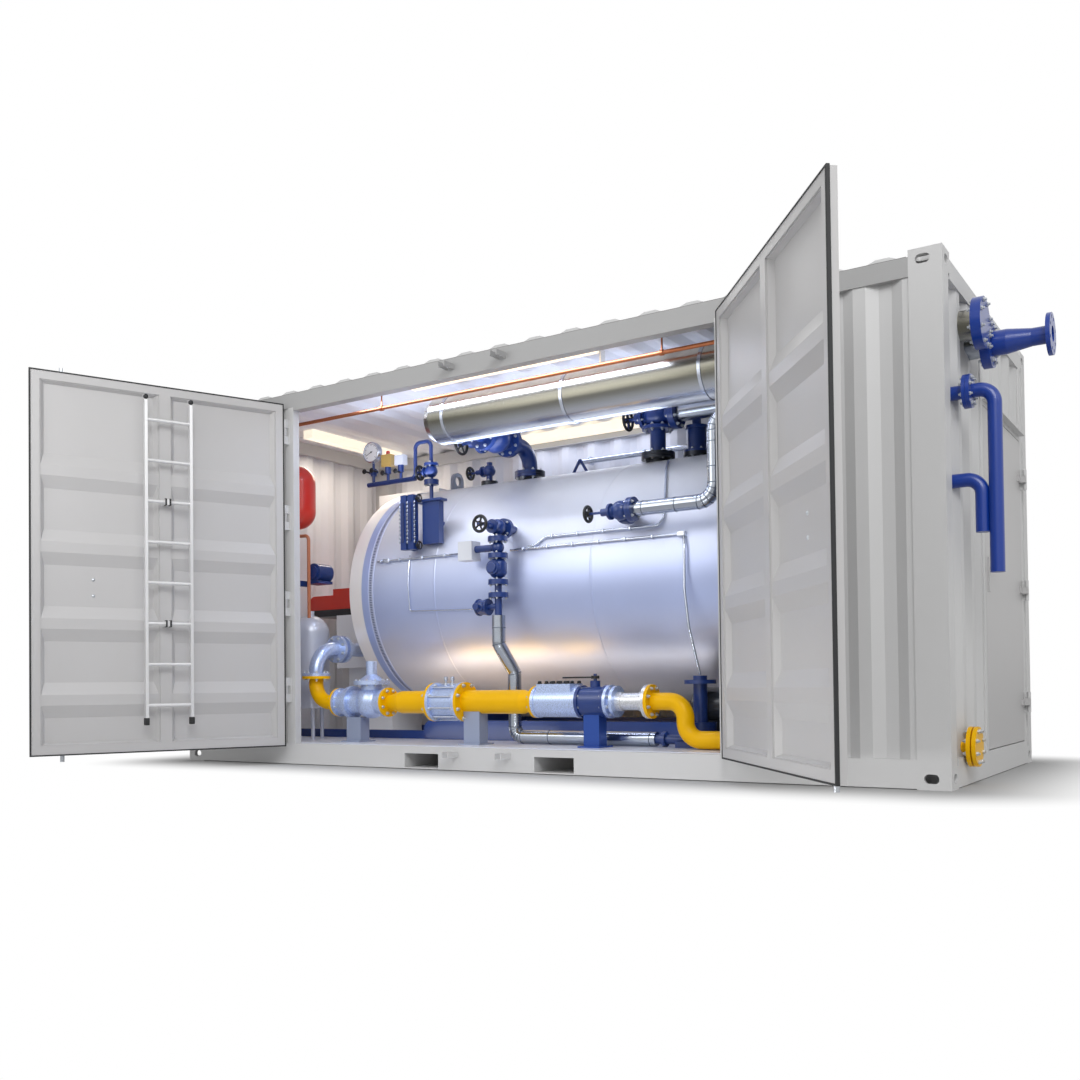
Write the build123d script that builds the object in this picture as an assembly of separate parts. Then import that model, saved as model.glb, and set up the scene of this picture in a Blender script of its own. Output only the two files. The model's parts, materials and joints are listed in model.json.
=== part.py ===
"""Containerised steam boiler plant: a twenty-foot high-cube steel container with the boiler inside.

Millimetres, +Z up, origin at ground level under the centre of the container.
+X runs along the container to the pipe end, -Y is the side with the two large doors.
"""
from build123d import *
import math
import os

# Container envelope
LENGTH = 6058.0
WIDTH = 2438.0
HEIGHT = 2896.0
CAST_X = 178.0
CAST_Y = 162.0
CAST_Z = 118.0
CAST_WALL = 28.0
CAST_BACK = 10.0
APERTURE_END = 102.5
APERTURE_SIDE = 89.5
APERTURE_LONG = 124.0
APERTURE_WIDE = 63.5
SIDE_SLOT_LONG = 79.0
SIDE_SLOT_WIDE = 51.0
POST_Y = 130.0

LEFT = -LENGTH / 2
RIGHT = LENGTH / 2
FRONT = -WIDTH / 2
BACK = WIDTH / 2
INNER = LENGTH / 2 - CAST_X
END_INNER = WIDTH / 2 - CAST_Y
APERTURE_X = LENGTH - 2 * APERTURE_END
APERTURE_Y = WIDTH - 2 * APERTURE_SIDE

# Base, rails and sheets
RAIL_BOTTOM = 5.0
RAIL_TOP = 160.0
RAIL_DEPTH = 60.0
FLOOR_TOP = 165.0
FLOOR_THICK = 6.0
ROOF_SET = 36.0
TOP_RAIL_TALL = 108.0
TOP_RAIL_DEPTH = 80.0
TOP_RAIL_TOP = HEIGHT - ROOF_SET
TOP_RAIL_BOTTOM = TOP_RAIL_TOP - TOP_RAIL_TALL
LINTEL_TALL = 24.0
ROOF_PITCH = 283.0
ROOF_RISE = 32.0
ROOF_EDGE = 30.0
WALL_PITCH = 278.0
WALL_DEPTH = 36.0
WALL_INSET = 8.0
SHEET = 2.0
FORK_SPACING = 1108.0
FORK_WIDE = 305.0
FORK_TALL = 100.0
FORK_WALL = 6.0
FORK_BOTTOM = 13.0
BEAM_PITCH = 640.0
BEAM_WIDE = 60.0
BEAM_BOTTOM = 45.0
SEAT = 0.3

# Side doorway and its two leaves
DOOR_MID = -37.0
HINGE_HALF = 1814.0
HINGE_OUT = 40.0
JAMB_PAST = 3.0
JAMB_WIDE = 58.0
JAMB_DEPTH = 60.0
PIN_R = 10.0
KNUCKLE_R = 16.0
PIN_CLEAR = 0.3
KNUCKLE_LEN = 62.0
KNUCKLE_GAP = 2.0
HINGE_PLATE = 6.0
HINGE_COUNT = 4
HINGE_LOW = 425.0
HINGE_HIGH = 203.0
LEAF_GAP = 20.0
MEET_GAP = 12.0
LEAF_THICK = 50.0
LEAF_FRONT = 62.0
LEAF_BOTTOM = 147.0
LEAF_OVERLAP = 13.0
LEAF_BORDER = 60.0
LEAF_STILE = 80.0
PRESS_DEPTH = 32.0
PRESS_INSET = 10.0
PRESS_SHEET = 3.0
PRESS_SLOPE = 85.0
PRESS_SIDE = 26.0
PRESS_END = 14.0
PRESS_RIDGE = 60.0
TOP_FIELD = 675.0
LOW_FIELD = 372.0
RIDGE_COUNT = 4
LEFT_OPEN = 112.0
RIGHT_OPEN = 129.0
ROD_X = 220.0
ROD_R = 14.0
ROD_OUT = 34.0
ROD_END = 52.0
KEEPER_CLEAR = 8.0
KEEPER_WALL = 8.0
KEEPER_TALL = 38.0
KEEPER_AWAY = 14.0
HANDLE_RISE = 1103.0
LADDER_NEAR = 749.0
LADDER_WIDE = 317.0
LADDER_OUT = 62.0
LADDER_LOW = 205.0
LADDER_HIGH = 85.0
RUNG_RISE = 327.0
RUNG_PITCH = 290.0
RUNG_COUNT = 8
RUNG_R = 12.0
RAIL_HALF_X = 10.0
RAIL_HALF_Y = 20.0

LEAF_TOP = TOP_RAIL_BOTTOM + LEAF_OVERLAP
HINGE_Y = FRONT - HINGE_OUT
HINGE_PITCH = (LEAF_TOP - HINGE_HIGH - LEAF_BOTTOM - HINGE_LOW) / (HINGE_COUNT - 1)
HINGE_Z = [LEAF_BOTTOM + HINGE_LOW + index * HINGE_PITCH for index in range(HINGE_COUNT)]
RIDGE_PITCH = (LEAF_TOP - TOP_FIELD - LEAF_BOTTOM - LOW_FIELD) / (RIDGE_COUNT - 1)
RIDGE_Z = [LEAF_TOP - TOP_FIELD - index * RIDGE_PITCH for index in range(RIDGE_COUNT)]

# Personnel door in the pipe end
END_DOOR_BACK = BACK - 259.0
END_DOOR_FRONT = BACK - 1479.0
END_DOOR_TOP = 2240.0
END_POST = 50.0
END_LEAF_THICK = 45.0
END_LEAF_GAP = 6.0
END_PIN_OUT = 30.0
END_PIN_PAST = 14.0
END_PIN_R = 7.0
END_KNUCKLE_R = 12.0
END_KNUCKLE = 23.0
END_BRACKET = 70.0
END_HINGE_Z = (430.0, 1200.0, 1970.0)
END_LATCH_Z = 1225.0
RAIN_LIP = 38.0

# Boiler
BOILER_R = 900.0
BOILER_Y = FRONT + 1439.0
BOILER_Z = 1355.0
BOILER_FRONT = -1730.0
BOILER_REAR = 1950.0
BOILER_TOP = BOILER_Z + BOILER_R
FRONT_RING = 134.0
RING_WALL = 70.0
RING_RECESS = 60.0
FRONT_BAND = 68.0
VENT_BAND = 50.0
BAND_RISE = 5.0
REAR_RING = 120.0
HATCH_R = 330.0
HATCH_THICK = 45.0
SKID_SPREAD = 520.0
SKID_TALL = 152.0
SKID_WIDE = 140.0
SKID_START = -1150.0
SADDLE_HALF = 330.0
SADDLE_IN = 730.0
SADDLE_OUT = 430.0
SADDLE_TOP = 740.0
LOW_RAIL = 66.0

# Burner end
BURNER_Z = BOILER_Z - 150.0
BURNER_BOTTOM = 760.0
BURNER_TOP = 1231.0
BURNER_LEFT = -2480.0
BURNER_RIGHT = -1880.0
BURNER_HALF = 270.0
BURNER_HEAD_R = 235.0
BURNER_FLANGE_R = 300.0
HOOD_LEFT = -2850.0
HOOD_RIGHT = -2200.0
HOOD_STEP = -2560.0
HOOD_HALF = 230.0
HOOD_LOW_TOP = 1420.0
HOOD_TOP = 1474.0
HOOD_ROUND = 60.0
VESSEL_X = -2205.0
VESSEL_Y = FRONT + 579.0
VESSEL_R = 150.0
VESSEL_BOTTOM = 418.0
VESSEL_SHOULDER = 1040.0
TANK_X = -2290.0
TANK_Y = FRONT + 519.0
TANK_LOW = 2060.0
TANK_HIGH = 2290.0
TANK_R = 150.0
TANK_PIPE_X = -2165.0
TANK_PIPE_Z = 1850.0
DOSE_X = -2150.0
DOSE_Y = FRONT + 639.0
DOSE_Z = 1546.0
DOSE_R = 75.0
CABINET_LEFT = LEFT + 329.0
CABINET_RIGHT = -1960.0
CABINET_TOP = 2440.0
CABINET_DEPTH = 380.0
CABINET_BACK = BACK - 59.0

# Steam pipework
HEADER_Y = FRONT + 445.0
HEADER_Z = TOP_RAIL_TOP - 289.0
HEADER_R = 175.0
HEADER_END = -690.0
HEADER_FAR = 2300.0
HEADER_NECK = 180.0
HEADER_DOME = ((0.0, 175.0), (55.0, 150.0), (107.0, 85.0))
SEAM_RISE = 2.5
SEAM_WIDE = 16.0
SEAM_X = (-560.0, 466.0, 1492.0)
HEADER_HANGER_X = (700.0, 1900.0)
STEAM_R = 84.0
MAIN_X = -565.0
MAIN_Y = FRONT + 964.0
MAIN_Z = BOILER_TOP + 265.0
MAIN_R = 62.0
MAIN_FACE = 168.0
MAIN_BODY_R = 112.0
MAIN_FLANGE_R = 117.5
NOZZLE_FLANGE_R = 125.0
SECOND_X = 690.0
SECOND_Y = FRONT + 1279.0
SECOND_Z = BOILER_TOP + 325.0
SECOND_FACE = 176.0
SAFETY_X = 930.0
VENT_X = -974.0
VENT_Z = BOILER_TOP + 137.0
LUG_X = (-1316.0, 1500.0)
LUG_R = 72.0
LUG_HOLE = 42.0
LUG_RISE = 85.0
OUTLET_Y = FRONT + 659.0
OUTLET_Z = TOP_RAIL_TOP - 355.0
OUTLET_R = 70.0
OUTLET_FACE = 70.0
OUTLET_FLANGE_R = 135.0
OUTLET_END_R = 50.0
OUTLET_PCD = 190.0
OUTLET_HOLES = 8
OUTLET_HOLE_R = 11.0
WALL_VENT_R = 38.0
HIGH_VENT = (FRONT + 290.0, 2160.0, 193.0, 1162.0)
LOW_VENT = (FRONT + 298.0, 1677.0, 121.0, 1385.0)

# Feed, blowdown and instruments
LAG_R = 48.0
FEED_X = 836.0
FEED_Y = FRONT + 429.0
FEED_Z = 1748.0
FEED_RISE_X = 1521.0
FEED_HIGH_Z = 2300.0
FEED_FAR_X = 2500.0
FEED_BACK = 240.0
FEED_FACE = 108.0
DRAIN_X = -170.0
DRAIN_Y = FRONT + 419.0
DRAIN_Z = 1726.0
DRAIN_LAG_TOP = 1090.0
DRAIN_BEND_TOP = 880.0
DRAIN_BEND_LOW = 680.0
DRAIN_SIDE = 65.0
DRAIN_BACK = 100.0
DRAIN_LOW_Z = 217.0
DRAIN_END_X = 1040.0
DRAIN_FLANGES = (86.0, 206.0, 396.0, 490.0)
DRAIN_BODIES = ((146.0, 46.0), (296.0, 62.0))
GAUGE_Y = FRONT + 499.0
GAUGE_LEFT = (-1126.0, -1072.0)
GAUGE_RIGHT = (-1052.0, -998.0)
GAUGE_Z = (1640.0, 2062.0)
GAUGE_ARM = 30.0
LEVEL_BOX = (-965.0, -805.0, FRONT + 539.0, FRONT + 599.0, 1680.0, 2005.0)
MANIFOLD_Y = FRONT + 919.0
MANIFOLD_Z = 2292.0
MANIFOLD_X = (-1860.0, -1345.0)
TAP_X = (-1800.0, -1640.0, -1500.0)
SYPHON_X = -1180.0
SYPHON_TOP = 2580.0
SYPHON_FOOT = 1950.0
SYPHON_VALVE_Z = 2330.0
DIAL_R = 84.0
DIAL_RISE = 267.0
PUMP_X = 1330.0
PUMP_Y = FRONT + 579.0
PUMP_TOP = 594.0
MOTOR_Y = FRONT + 749.0
MOTOR_Z = 440.0
MOTOR_R = 118.0

# Gas train
GAS_Y = FRONT + 329.0
GAS_Z = 470.0
GAS_R = 57.0
GAS_WIDE_R = 84.0
GAS_FLANGE = 111.0
GAS_WIDE_FLANGE = 142.5
FLANGE = 22.0
RISER_X = -1900.0
RISER_JOINT = 679.0
RISER_TOP = 900.0
RISER_REACH = 300.0
REG_LEFT = -1640.0
REG_PLATE = -1505.0
REG_X = -1310.0
REG_RIGHT = -1150.0
REG_R = 125.0
REG_CAP_R = 41.0
REG_TOP = 785.0
CONE_X = (-1100.0, -998.0)
FILTER_X = (-674.0, -416.0)
FILTER_R = 122.0
NECK_X = (105.0, 197.0)
SHUT_X = (222.0, 572.0)
SHUT_R = 106.0
HOSE_X = (790.0, 1092.0)
HOSE_GAP = 45.0
DROP_X = 1341.0
GAS_LOW_Z = 226.0
GAS_FAR_X = 2660.0
INLET_X = 2850.0
INLET_Y = GAS_Y + 40.0
INLET_Z = 216.0
INLET_R = 44.5
INLET_FLANGE_R = 110.0
GAS_VALVE_X = 681.0
GAS_VALVE_R = 100.0
LEVER_Z = 633.0
LEVER_LONG = 250.0
LEVER_BORE = 12.0
STANDS = ((-1455.0, REG_R, 72.0), (-318.0, GAS_WIDE_R, 70.0), (675.0, GAS_VALVE_R, 60.0))

# Ceiling
LAMP_TALL = 70.0
LAMPS = ((-770.0, 800.0, FRONT + 129.0, FRONT + 229.0, 95.0),
         (LEFT + 409.0, LEFT + 519.0, FRONT + 919.0, BACK - 319.0, LAMP_TALL),
         (-1260.0, 300.0, BACK - 229.0, BACK - 129.0, LAMP_TALL))
COPPER_Y = FRONT + 269.0
COPPER_Z = TOP_RAIL_TOP - 160.0
COPPER_R = 14.0
HANGER_X = (-2400.0, -1130.0, 1240.0, 2400.0)

# Valve bonnets: lengths and radii from the body to the stem's end
MAIN_STEM = ((130.0, 62.0), (26.0, 95.0), (90.0, 44.0), (124.0, 12.0))
SECOND_STEM = ((100.0, 58.0), (24.0, 88.0), (60.0, 40.0), (90.0, 12.0))
FEED_STEM = ((70.0, 38.0), (16.0, 55.0), (60.0, 26.0), (126.0, 9.0))
DRAIN_STEM = ((60.0, 34.0), (16.0, 50.0), (60.0, 24.0), (100.0, 8.0))
VENT_STEM = ((60.0, 30.0), (14.0, 46.0), (60.0, 20.0), (80.0, 8.0))
SYPHON_STEM = ((56.0, 28.0), (12.0, 42.0), (30.0, 18.0), (36.0, 8.0))
MAIN_WHEEL = (340.0, 88.0)
SECOND_WHEEL = (250.0, 80.0)
FEED_WHEEL = (254.0, 62.0)
DRAIN_WHEEL = (216.0, 66.0)
VENT_WHEEL = (200.0, 56.0)
SYPHON_WHEEL = (118.0, 60.0)
WHEEL_RIM = 15.0
WHEEL_TALL = 16.0
WHEEL_HUB = 10.0

X_DIR = (1, 0, 0)
Y_DIR = (0, 1, 0)
Z_DIR = (0, 0, 1)
TO_LEFT = (-1, 0, 0)
TO_FRONT = (0, -1, 0)


def block(x0, x1, y0, y1, z0, z1):
    """Return a box between two corners."""
    centre = Pos((x0 + x1) / 2, (y0 + y1) / 2, (z0 + z1) / 2)
    return centre * Box(abs(x1 - x0), abs(y1 - y0), abs(z1 - z0))


def bar(start, end, radius):
    """Return a round bar from one point to another."""
    run = Vector(*end) - Vector(*start)
    face = Plane(origin=start, z_dir=run) * Circle(radius)
    return extrude(face, amount=run.length, dir=run.normalized())


def cone(start, end, radius0, radius1):
    """Return a reducer between two parallel circles across the line's main direction."""
    run = Vector(*end) - Vector(*start)
    parts = (abs(run.X), abs(run.Y), abs(run.Z))
    axis = [X_DIR, Y_DIR, Z_DIR][parts.index(max(parts))]
    first = Plane(origin=start, z_dir=axis) * Circle(radius0)
    last = Plane(origin=end, z_dir=axis) * Circle(radius1)
    return loft([first, last])


def pipe(points, radius, bend):
    """Return a round pipe along a line with bends."""
    path = FilletPolyline(*points, radius=bend)
    start = Plane(origin=path @ 0, z_dir=path % 0)
    return sweep(start * Circle(radius), path=path)


def disc(centre, axis, radius, thick):
    """Return a flange disc centred on a point."""
    half = Vector(*axis) * (thick / 2)
    mid = Vector(*centre)
    return bar(tuple(mid - half), tuple(mid + half), radius)


def ball(centre, radius):
    """Return a valve body swell."""
    return Pos(*centre) * Rot(37, 23, 11) * Sphere(radius)


def fuse(pieces):
    """Return one solid joined from touching pieces."""
    joined = pieces[0]
    for piece in pieces[1:]:
        joined = joined + piece
    return joined


def slot_hole(centre, axis, long_dir, long, wide, depth):
    """Return a long hole to be cut, centred on a point."""
    frame = Plane(origin=centre, x_dir=long_dir, z_dir=axis)
    return extrude(frame * SlotOverall(long, wide), amount=depth / 2, both=True)


def wheel(centre, axis, radius, bore):
    """Return a spoked handwheel with a hub bored for its stem."""
    frame = Plane(origin=centre, z_dir=axis)
    rim = Cylinder(radius, WHEEL_TALL) - Cylinder(radius - WHEEL_RIM, WHEEL_TALL)
    body = rim + Cylinder(bore + WHEEL_HUB, WHEEL_TALL + 10)
    for turn in (0, 90):
        body = body + Rot(0, 0, turn) * Box(2 * radius - WHEEL_RIM, 12, 10)
    return frame * (body - Cylinder(bore, 2 * WHEEL_TALL + 20))


def bonnet(centre, axis, steps):
    """Return a stepped bonnet and stem running from a valve body."""
    start = Vector(*centre)
    way = Vector(*axis)
    pieces = []
    at = 0.0
    for length, radius in steps:
        pieces.append(bar(tuple(start + way * at), tuple(start + way * (at + length)), radius))
        at += length
    return fuse(pieces)


def shifted(centre, axis, distance):
    """Return a point moved along an axis."""
    return tuple(c + a * distance for c, a in zip(centre, axis))


def corrugated(length, pitch, depth, sheet):
    """Return the section of a trapezoid-corrugated sheet along X, rising in +Y."""
    count = max(1, round(length / pitch))
    step = length / count
    line = [(0.0, 0.0)]
    for index in range(count):
        start = index * step
        line.append((start + 0.13 * step, 0.0))
        line.append((start + 0.37 * step, depth - sheet))
        line.append((start + 0.63 * step, depth - sheet))
        line.append((start + 0.87 * step, 0.0))
    line.append((length, 0.0))
    upper = [(x, y + sheet) for x, y in reversed(line)]
    return make_face(Polyline(*line, *upper, close=True))


def wall(start, length, height, along_x, outward):
    """Return a corrugated wall sheet with upright corrugations.

    start is the lower corner on the outer plane, outward is the sign of the outer side.
    """
    section = corrugated(length, WALL_PITCH, WALL_DEPTH, SHEET)
    sheet = extrude(section, amount=height, dir=Z_DIR)
    if outward > 0:
        sheet = mirror(sheet, about=Plane.XZ)
    if along_x:
        return Pos(*start) * sheet
    turned = Rot(0, 0, 90) * mirror(sheet, about=Plane.XZ)
    return Pos(*start) * turned


def corner_casting(side_x, side_y, top):
    """Return one hollow corner casting with its three apertures."""
    x_out = side_x * LENGTH / 2
    y_out = side_y * WIDTH / 2
    z_out = HEIGHT if top else 0.0
    into_z = -1.0 if top else 1.0
    body = block(x_out, x_out - side_x * CAST_X, y_out, y_out - side_y * CAST_Y,
                 z_out, z_out + into_z * CAST_Z)
    hollow = block(x_out - side_x * CAST_WALL, x_out - side_x * (CAST_X - CAST_BACK),
                   y_out - side_y * CAST_WALL, y_out - side_y * (CAST_Y - CAST_BACK),
                   z_out + into_z * CAST_WALL, z_out + into_z * (CAST_Z - CAST_BACK))
    centre_x = side_x * APERTURE_X / 2
    centre_y = side_y * APERTURE_Y / 2
    mid_z = z_out + into_z * CAST_Z / 2
    flat = slot_hole((centre_x, centre_y, z_out), Z_DIR, X_DIR, APERTURE_LONG, APERTURE_WIDE, 2 * CAST_WALL)
    side = slot_hole((centre_x, y_out, mid_z), Y_DIR, X_DIR, SIDE_SLOT_LONG, SIDE_SLOT_WIDE, 2 * CAST_WALL)
    end = slot_hole((x_out, centre_y, mid_z), X_DIR, Y_DIR, SIDE_SLOT_LONG, SIDE_SLOT_WIDE, 2 * CAST_WALL)
    return body - hollow - flat - side - end


def corner_castings():
    """Return the eight corner castings."""
    return [corner_casting(sx, sy, top) for sx in (-1, 1) for sy in (-1, 1) for top in (False, True)]


def corner_posts():
    """Return the four corner posts between the castings."""
    posts = []
    for sx in (-1, 1):
        for sy in (-1, 1):
            posts.append(block(sx * LENGTH / 2, sx * INNER, sy * WIDTH / 2, sy * (WIDTH / 2 - POST_Y),
                               CAST_Z, HEIGHT - CAST_Z))
    return posts


def fork_box(side):
    """Return the outer block of one fork pocket."""
    centre = side * FORK_SPACING / 2
    half = FORK_WIDE / 2 + FORK_WALL
    return block(centre - half, centre + half, FRONT, BACK,
                 FORK_BOTTOM - FORK_WALL, FORK_BOTTOM + FORK_TALL + FORK_WALL)


def keeper(x, z0):
    """Return one pair of lock-rod guides on the front of a rail, upward from a height."""
    prong = ROD_R + KEEPER_CLEAR
    outer = prong + KEEPER_WALL
    reach = LEAF_FRONT + ROD_OUT + ROD_R
    left = block(x - outer, x - prong, FRONT - reach, FRONT, z0, z0 + KEEPER_TALL)
    right = block(x + prong, x + outer, FRONT - reach, FRONT, z0, z0 + KEEPER_TALL)
    plate = block(x - outer, x + outer, FRONT - HINGE_PLATE, FRONT, z0, z0 + KEEPER_TALL)
    return left + right + plate


def bottom_rails():
    """Return the four bottom rails, the front one with the lower lock-rod guides."""
    rails = []
    for sy in (-1, 1):
        rail = block(-INNER, INNER, sy * WIDTH / 2, sy * (WIDTH / 2 - RAIL_DEPTH), RAIL_BOTTOM, RAIL_TOP)
        for side in (-1, 1):
            rail = rail - fork_box(side)
        if sy < 0:
            for side in (-1, 1):
                rail = rail + keeper(DOOR_MID + side * ROD_X, LEAF_BOTTOM - KEEPER_AWAY - KEEPER_TALL)
        rails.append(rail)
    for sx in (-1, 1):
        rails.append(block(sx * LENGTH / 2, sx * (LENGTH / 2 - RAIL_DEPTH), -END_INNER, END_INNER,
                           RAIL_BOTTOM, RAIL_TOP))
    return rails


def base_crossmembers():
    """Return the fork pockets and the cross beams under the floor."""
    members = []
    for side in (-1, 1):
        centre = side * FORK_SPACING / 2
        inside = block(centre - FORK_WIDE / 2, centre + FORK_WIDE / 2, FRONT - 1, BACK + 1,
                       FORK_BOTTOM, FORK_BOTTOM + FORK_TALL)
        members.append(fork_box(side) - inside)
    count = int(INNER // BEAM_PITCH)
    for index in range(-count, count + 1):
        x = index * BEAM_PITCH
        clear = abs(abs(x) - FORK_SPACING / 2) - FORK_WIDE / 2 - FORK_WALL - BEAM_WIDE / 2
        if clear > FORK_WALL:
            members.append(block(x - BEAM_WIDE / 2, x + BEAM_WIDE / 2, FRONT + RAIL_DEPTH, BACK - RAIL_DEPTH,
                                 BEAM_BOTTOM, FLOOR_TOP - FLOOR_THICK))
    return members


def floor_plate():
    """Return the floor plate between the rails."""
    low = FLOOR_TOP - FLOOR_THICK
    ends = block(LEFT + RAIL_DEPTH, RIGHT - RAIL_DEPTH, -END_INNER, END_INNER, low, FLOOR_TOP)
    sides = block(-INNER, INNER, FRONT + RAIL_DEPTH, BACK - RAIL_DEPTH, low, FLOOR_TOP)
    return [ends + sides]


def jamb_span(side):
    """Return the outer and inner x of a large doorway's jamb."""
    outer = HINGE_HALF + JAMB_PAST
    return DOOR_MID + side * outer, DOOR_MID + side * (outer - JAMB_WIDE)


def top_rails():
    """Return the four top rails, the front one with the lintel and the upper lock-rod guides."""
    rails = []
    for sy in (-1, 1):
        rail = block(-INNER, INNER, sy * WIDTH / 2, sy * (WIDTH / 2 - TOP_RAIL_DEPTH),
                     TOP_RAIL_BOTTOM, TOP_RAIL_TOP)
        if sy < 0:
            rail = rail + block(jamb_span(-1)[1], jamb_span(1)[1], FRONT, FRONT + TOP_RAIL_DEPTH,
                                TOP_RAIL_BOTTOM - LINTEL_TALL, TOP_RAIL_BOTTOM)
            for side in (-1, 1):
                rail = rail + keeper(DOOR_MID + side * ROD_X, LEAF_TOP + KEEPER_AWAY)
        rails.append(rail)
    for sx in (-1, 1):
        rails.append(block(sx * LENGTH / 2, sx * (LENGTH / 2 - TOP_RAIL_DEPTH), -END_INNER, END_INNER,
                           TOP_RAIL_BOTTOM, TOP_RAIL_TOP))
    return rails


def roof():
    """Return the corrugated roof with its flat ends."""
    section = corrugated(2 * INNER, ROOF_PITCH, ROOF_RISE, SHEET)
    sheet = extrude(Plane.XZ * section, amount=WIDTH - 2 * ROOF_EDGE, dir=Y_DIR)
    sheet = Pos(-INNER, FRONT + ROOF_EDGE, TOP_RAIL_TOP) * sheet
    for sx in (-1, 1):
        sheet = sheet + block(sx * INNER, sx * (LENGTH / 2 - WALL_INSET), -END_INNER, END_INNER,
                              TOP_RAIL_TOP, TOP_RAIL_TOP + SHEET)
    return [sheet]


def back_wall():
    """Return the wall behind the boiler."""
    start = (-INNER, BACK - WALL_INSET, RAIL_TOP)
    return [wall(start, 2 * INNER, TOP_RAIL_BOTTOM - RAIL_TOP, True, 1)]


def left_end_wall():
    """Return the wall at the burner end."""
    span = WIDTH - 2 * POST_Y
    sheet = wall((0, 0, 0), span, TOP_RAIL_BOTTOM - RAIL_TOP, False, -1)
    return [Pos(LEFT + WALL_INSET, -span / 2, RAIL_TOP) * sheet]


def front_wall_panels():
    """Return the wall sheets on both sides of the large doorway."""
    height = TOP_RAIL_BOTTOM - RAIL_TOP
    y = FRONT + WALL_INSET
    left = wall((-INNER, y, RAIL_TOP), jamb_span(-1)[0] + INNER, height, True, -1)
    right = wall((jamb_span(1)[0], y, RAIL_TOP), INNER - jamb_span(1)[0], height, True, -1)
    return [left, right]


def end_sheet(y0, y1, z0, z1):
    """Return one sheet of the pipe-end wall."""
    sheet = wall((0, 0, 0), y1 - y0, z1 - z0, False, 1)
    return Pos(RIGHT - WALL_INSET, y0, z0) * sheet


def end_pipe_holes():
    """Return the wall holes of every pipe through the pipe end."""
    holes = []
    for y, z, radius in ((HEADER_Y, HEADER_Z, STEAM_R), (OUTLET_Y, OUTLET_Z, OUTLET_R),
                         (*HIGH_VENT[:2], WALL_VENT_R), (*LOW_VENT[:2], WALL_VENT_R),
                         (INLET_Y, INLET_Z, INLET_R)):
        holes.append(bar((RIGHT - 4 * WALL_DEPTH, y, z), (RIGHT + WALL_DEPTH, y, z), radius + SEAT))
    return holes


def right_end_wall():
    """Return the pipe-end wall beside and over its door."""
    inner = WIDTH / 2 - POST_Y
    near = end_sheet(-inner, END_DOOR_FRONT - END_POST, RAIL_TOP, TOP_RAIL_BOTTOM)
    for hole in end_pipe_holes():
        near = near - hole
    far = end_sheet(END_DOOR_BACK + END_POST, inner, RAIL_TOP, TOP_RAIL_BOTTOM)
    over = end_sheet(END_DOOR_FRONT, END_DOOR_BACK, END_DOOR_TOP, TOP_RAIL_BOTTOM)
    over = over + block(RIGHT - RAIL_DEPTH, RIGHT, END_DOOR_FRONT, END_DOOR_BACK,
                        END_DOOR_TOP, END_DOOR_TOP + END_POST)
    over = over + block(RIGHT, RIGHT + RAIN_LIP, END_DOOR_FRONT + END_LEAF_GAP, END_DOOR_BACK - END_LEAF_GAP,
                        END_DOOR_TOP + 30.0, END_DOOR_TOP + 36.0)
    return [near, far, over]


def end_door_posts():
    """Return the two posts of the pipe-end doorway."""
    posts = []
    for y0 in (END_DOOR_FRONT - END_POST, END_DOOR_BACK):
        posts.append(block(RIGHT - RAIL_DEPTH, RIGHT, y0, y0 + END_POST, RAIL_TOP, TOP_RAIL_BOTTOM))
    return posts


def door_jambs():
    """Return the two jambs of the large doorway."""
    return [block(*jamb_span(side), FRONT, FRONT + JAMB_DEPTH, RAIL_TOP, TOP_RAIL_BOTTOM) for side in (-1, 1)]


def hinge_bracket(x, z):
    """Return a fixed hinge half: two knuckles, the pin and the plate on the jamb."""
    half = KNUCKLE_LEN / 2
    reach = half + KNUCKLE_GAP + KNUCKLE_LEN
    plate = FRONT - HINGE_PLATE
    pieces = [bar((x, HINGE_Y, z - reach), (x, HINGE_Y, z + reach), PIN_R)]
    for sign in (-1, 1):
        near = z + sign * (half + KNUCKLE_GAP)
        far = z + sign * reach
        pieces.append(bar((x, HINGE_Y, near), (x, HINGE_Y, far), KNUCKLE_R))
        pieces.append(block(x - PIN_R, x + PIN_R, HINGE_Y, plate, near, far))
    pieces.append(block(x - KNUCKLE_R, x + KNUCKLE_R, plate, FRONT, z - reach, z + reach))
    return fuse(pieces)


def end_hinge_bracket(z):
    """Return a fixed hinge half of the pipe-end door."""
    x = RIGHT + END_PIN_OUT
    y = END_DOOR_BACK + END_PIN_PAST
    near = END_KNUCKLE + KNUCKLE_GAP
    pieces = [bar((x, y, z - END_BRACKET), (x, y, z + END_BRACKET), END_PIN_R)]
    for sign in (-1, 1):
        pieces.append(bar((x, y, z + sign * near), (x, y, z + sign * END_BRACKET), END_KNUCKLE_R))
        pieces.append(block(RIGHT + 4.0, x, y + 2.0, y + 12.0, z + sign * near, z + sign * END_BRACKET))
    pieces.append(block(RIGHT, RIGHT + 5.0, y - 6.0, y + 34.0, z - END_BRACKET, z + END_BRACKET))
    return fuse(pieces)


def door_hinge_brackets():
    """Return every fixed hinge half."""
    brackets = [hinge_bracket(DOOR_MID + side * HINGE_HALF, z) for side in (-1, 1) for z in HINGE_Z]
    return brackets + [end_hinge_bracket(z) for z in END_HINGE_Z]


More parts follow.
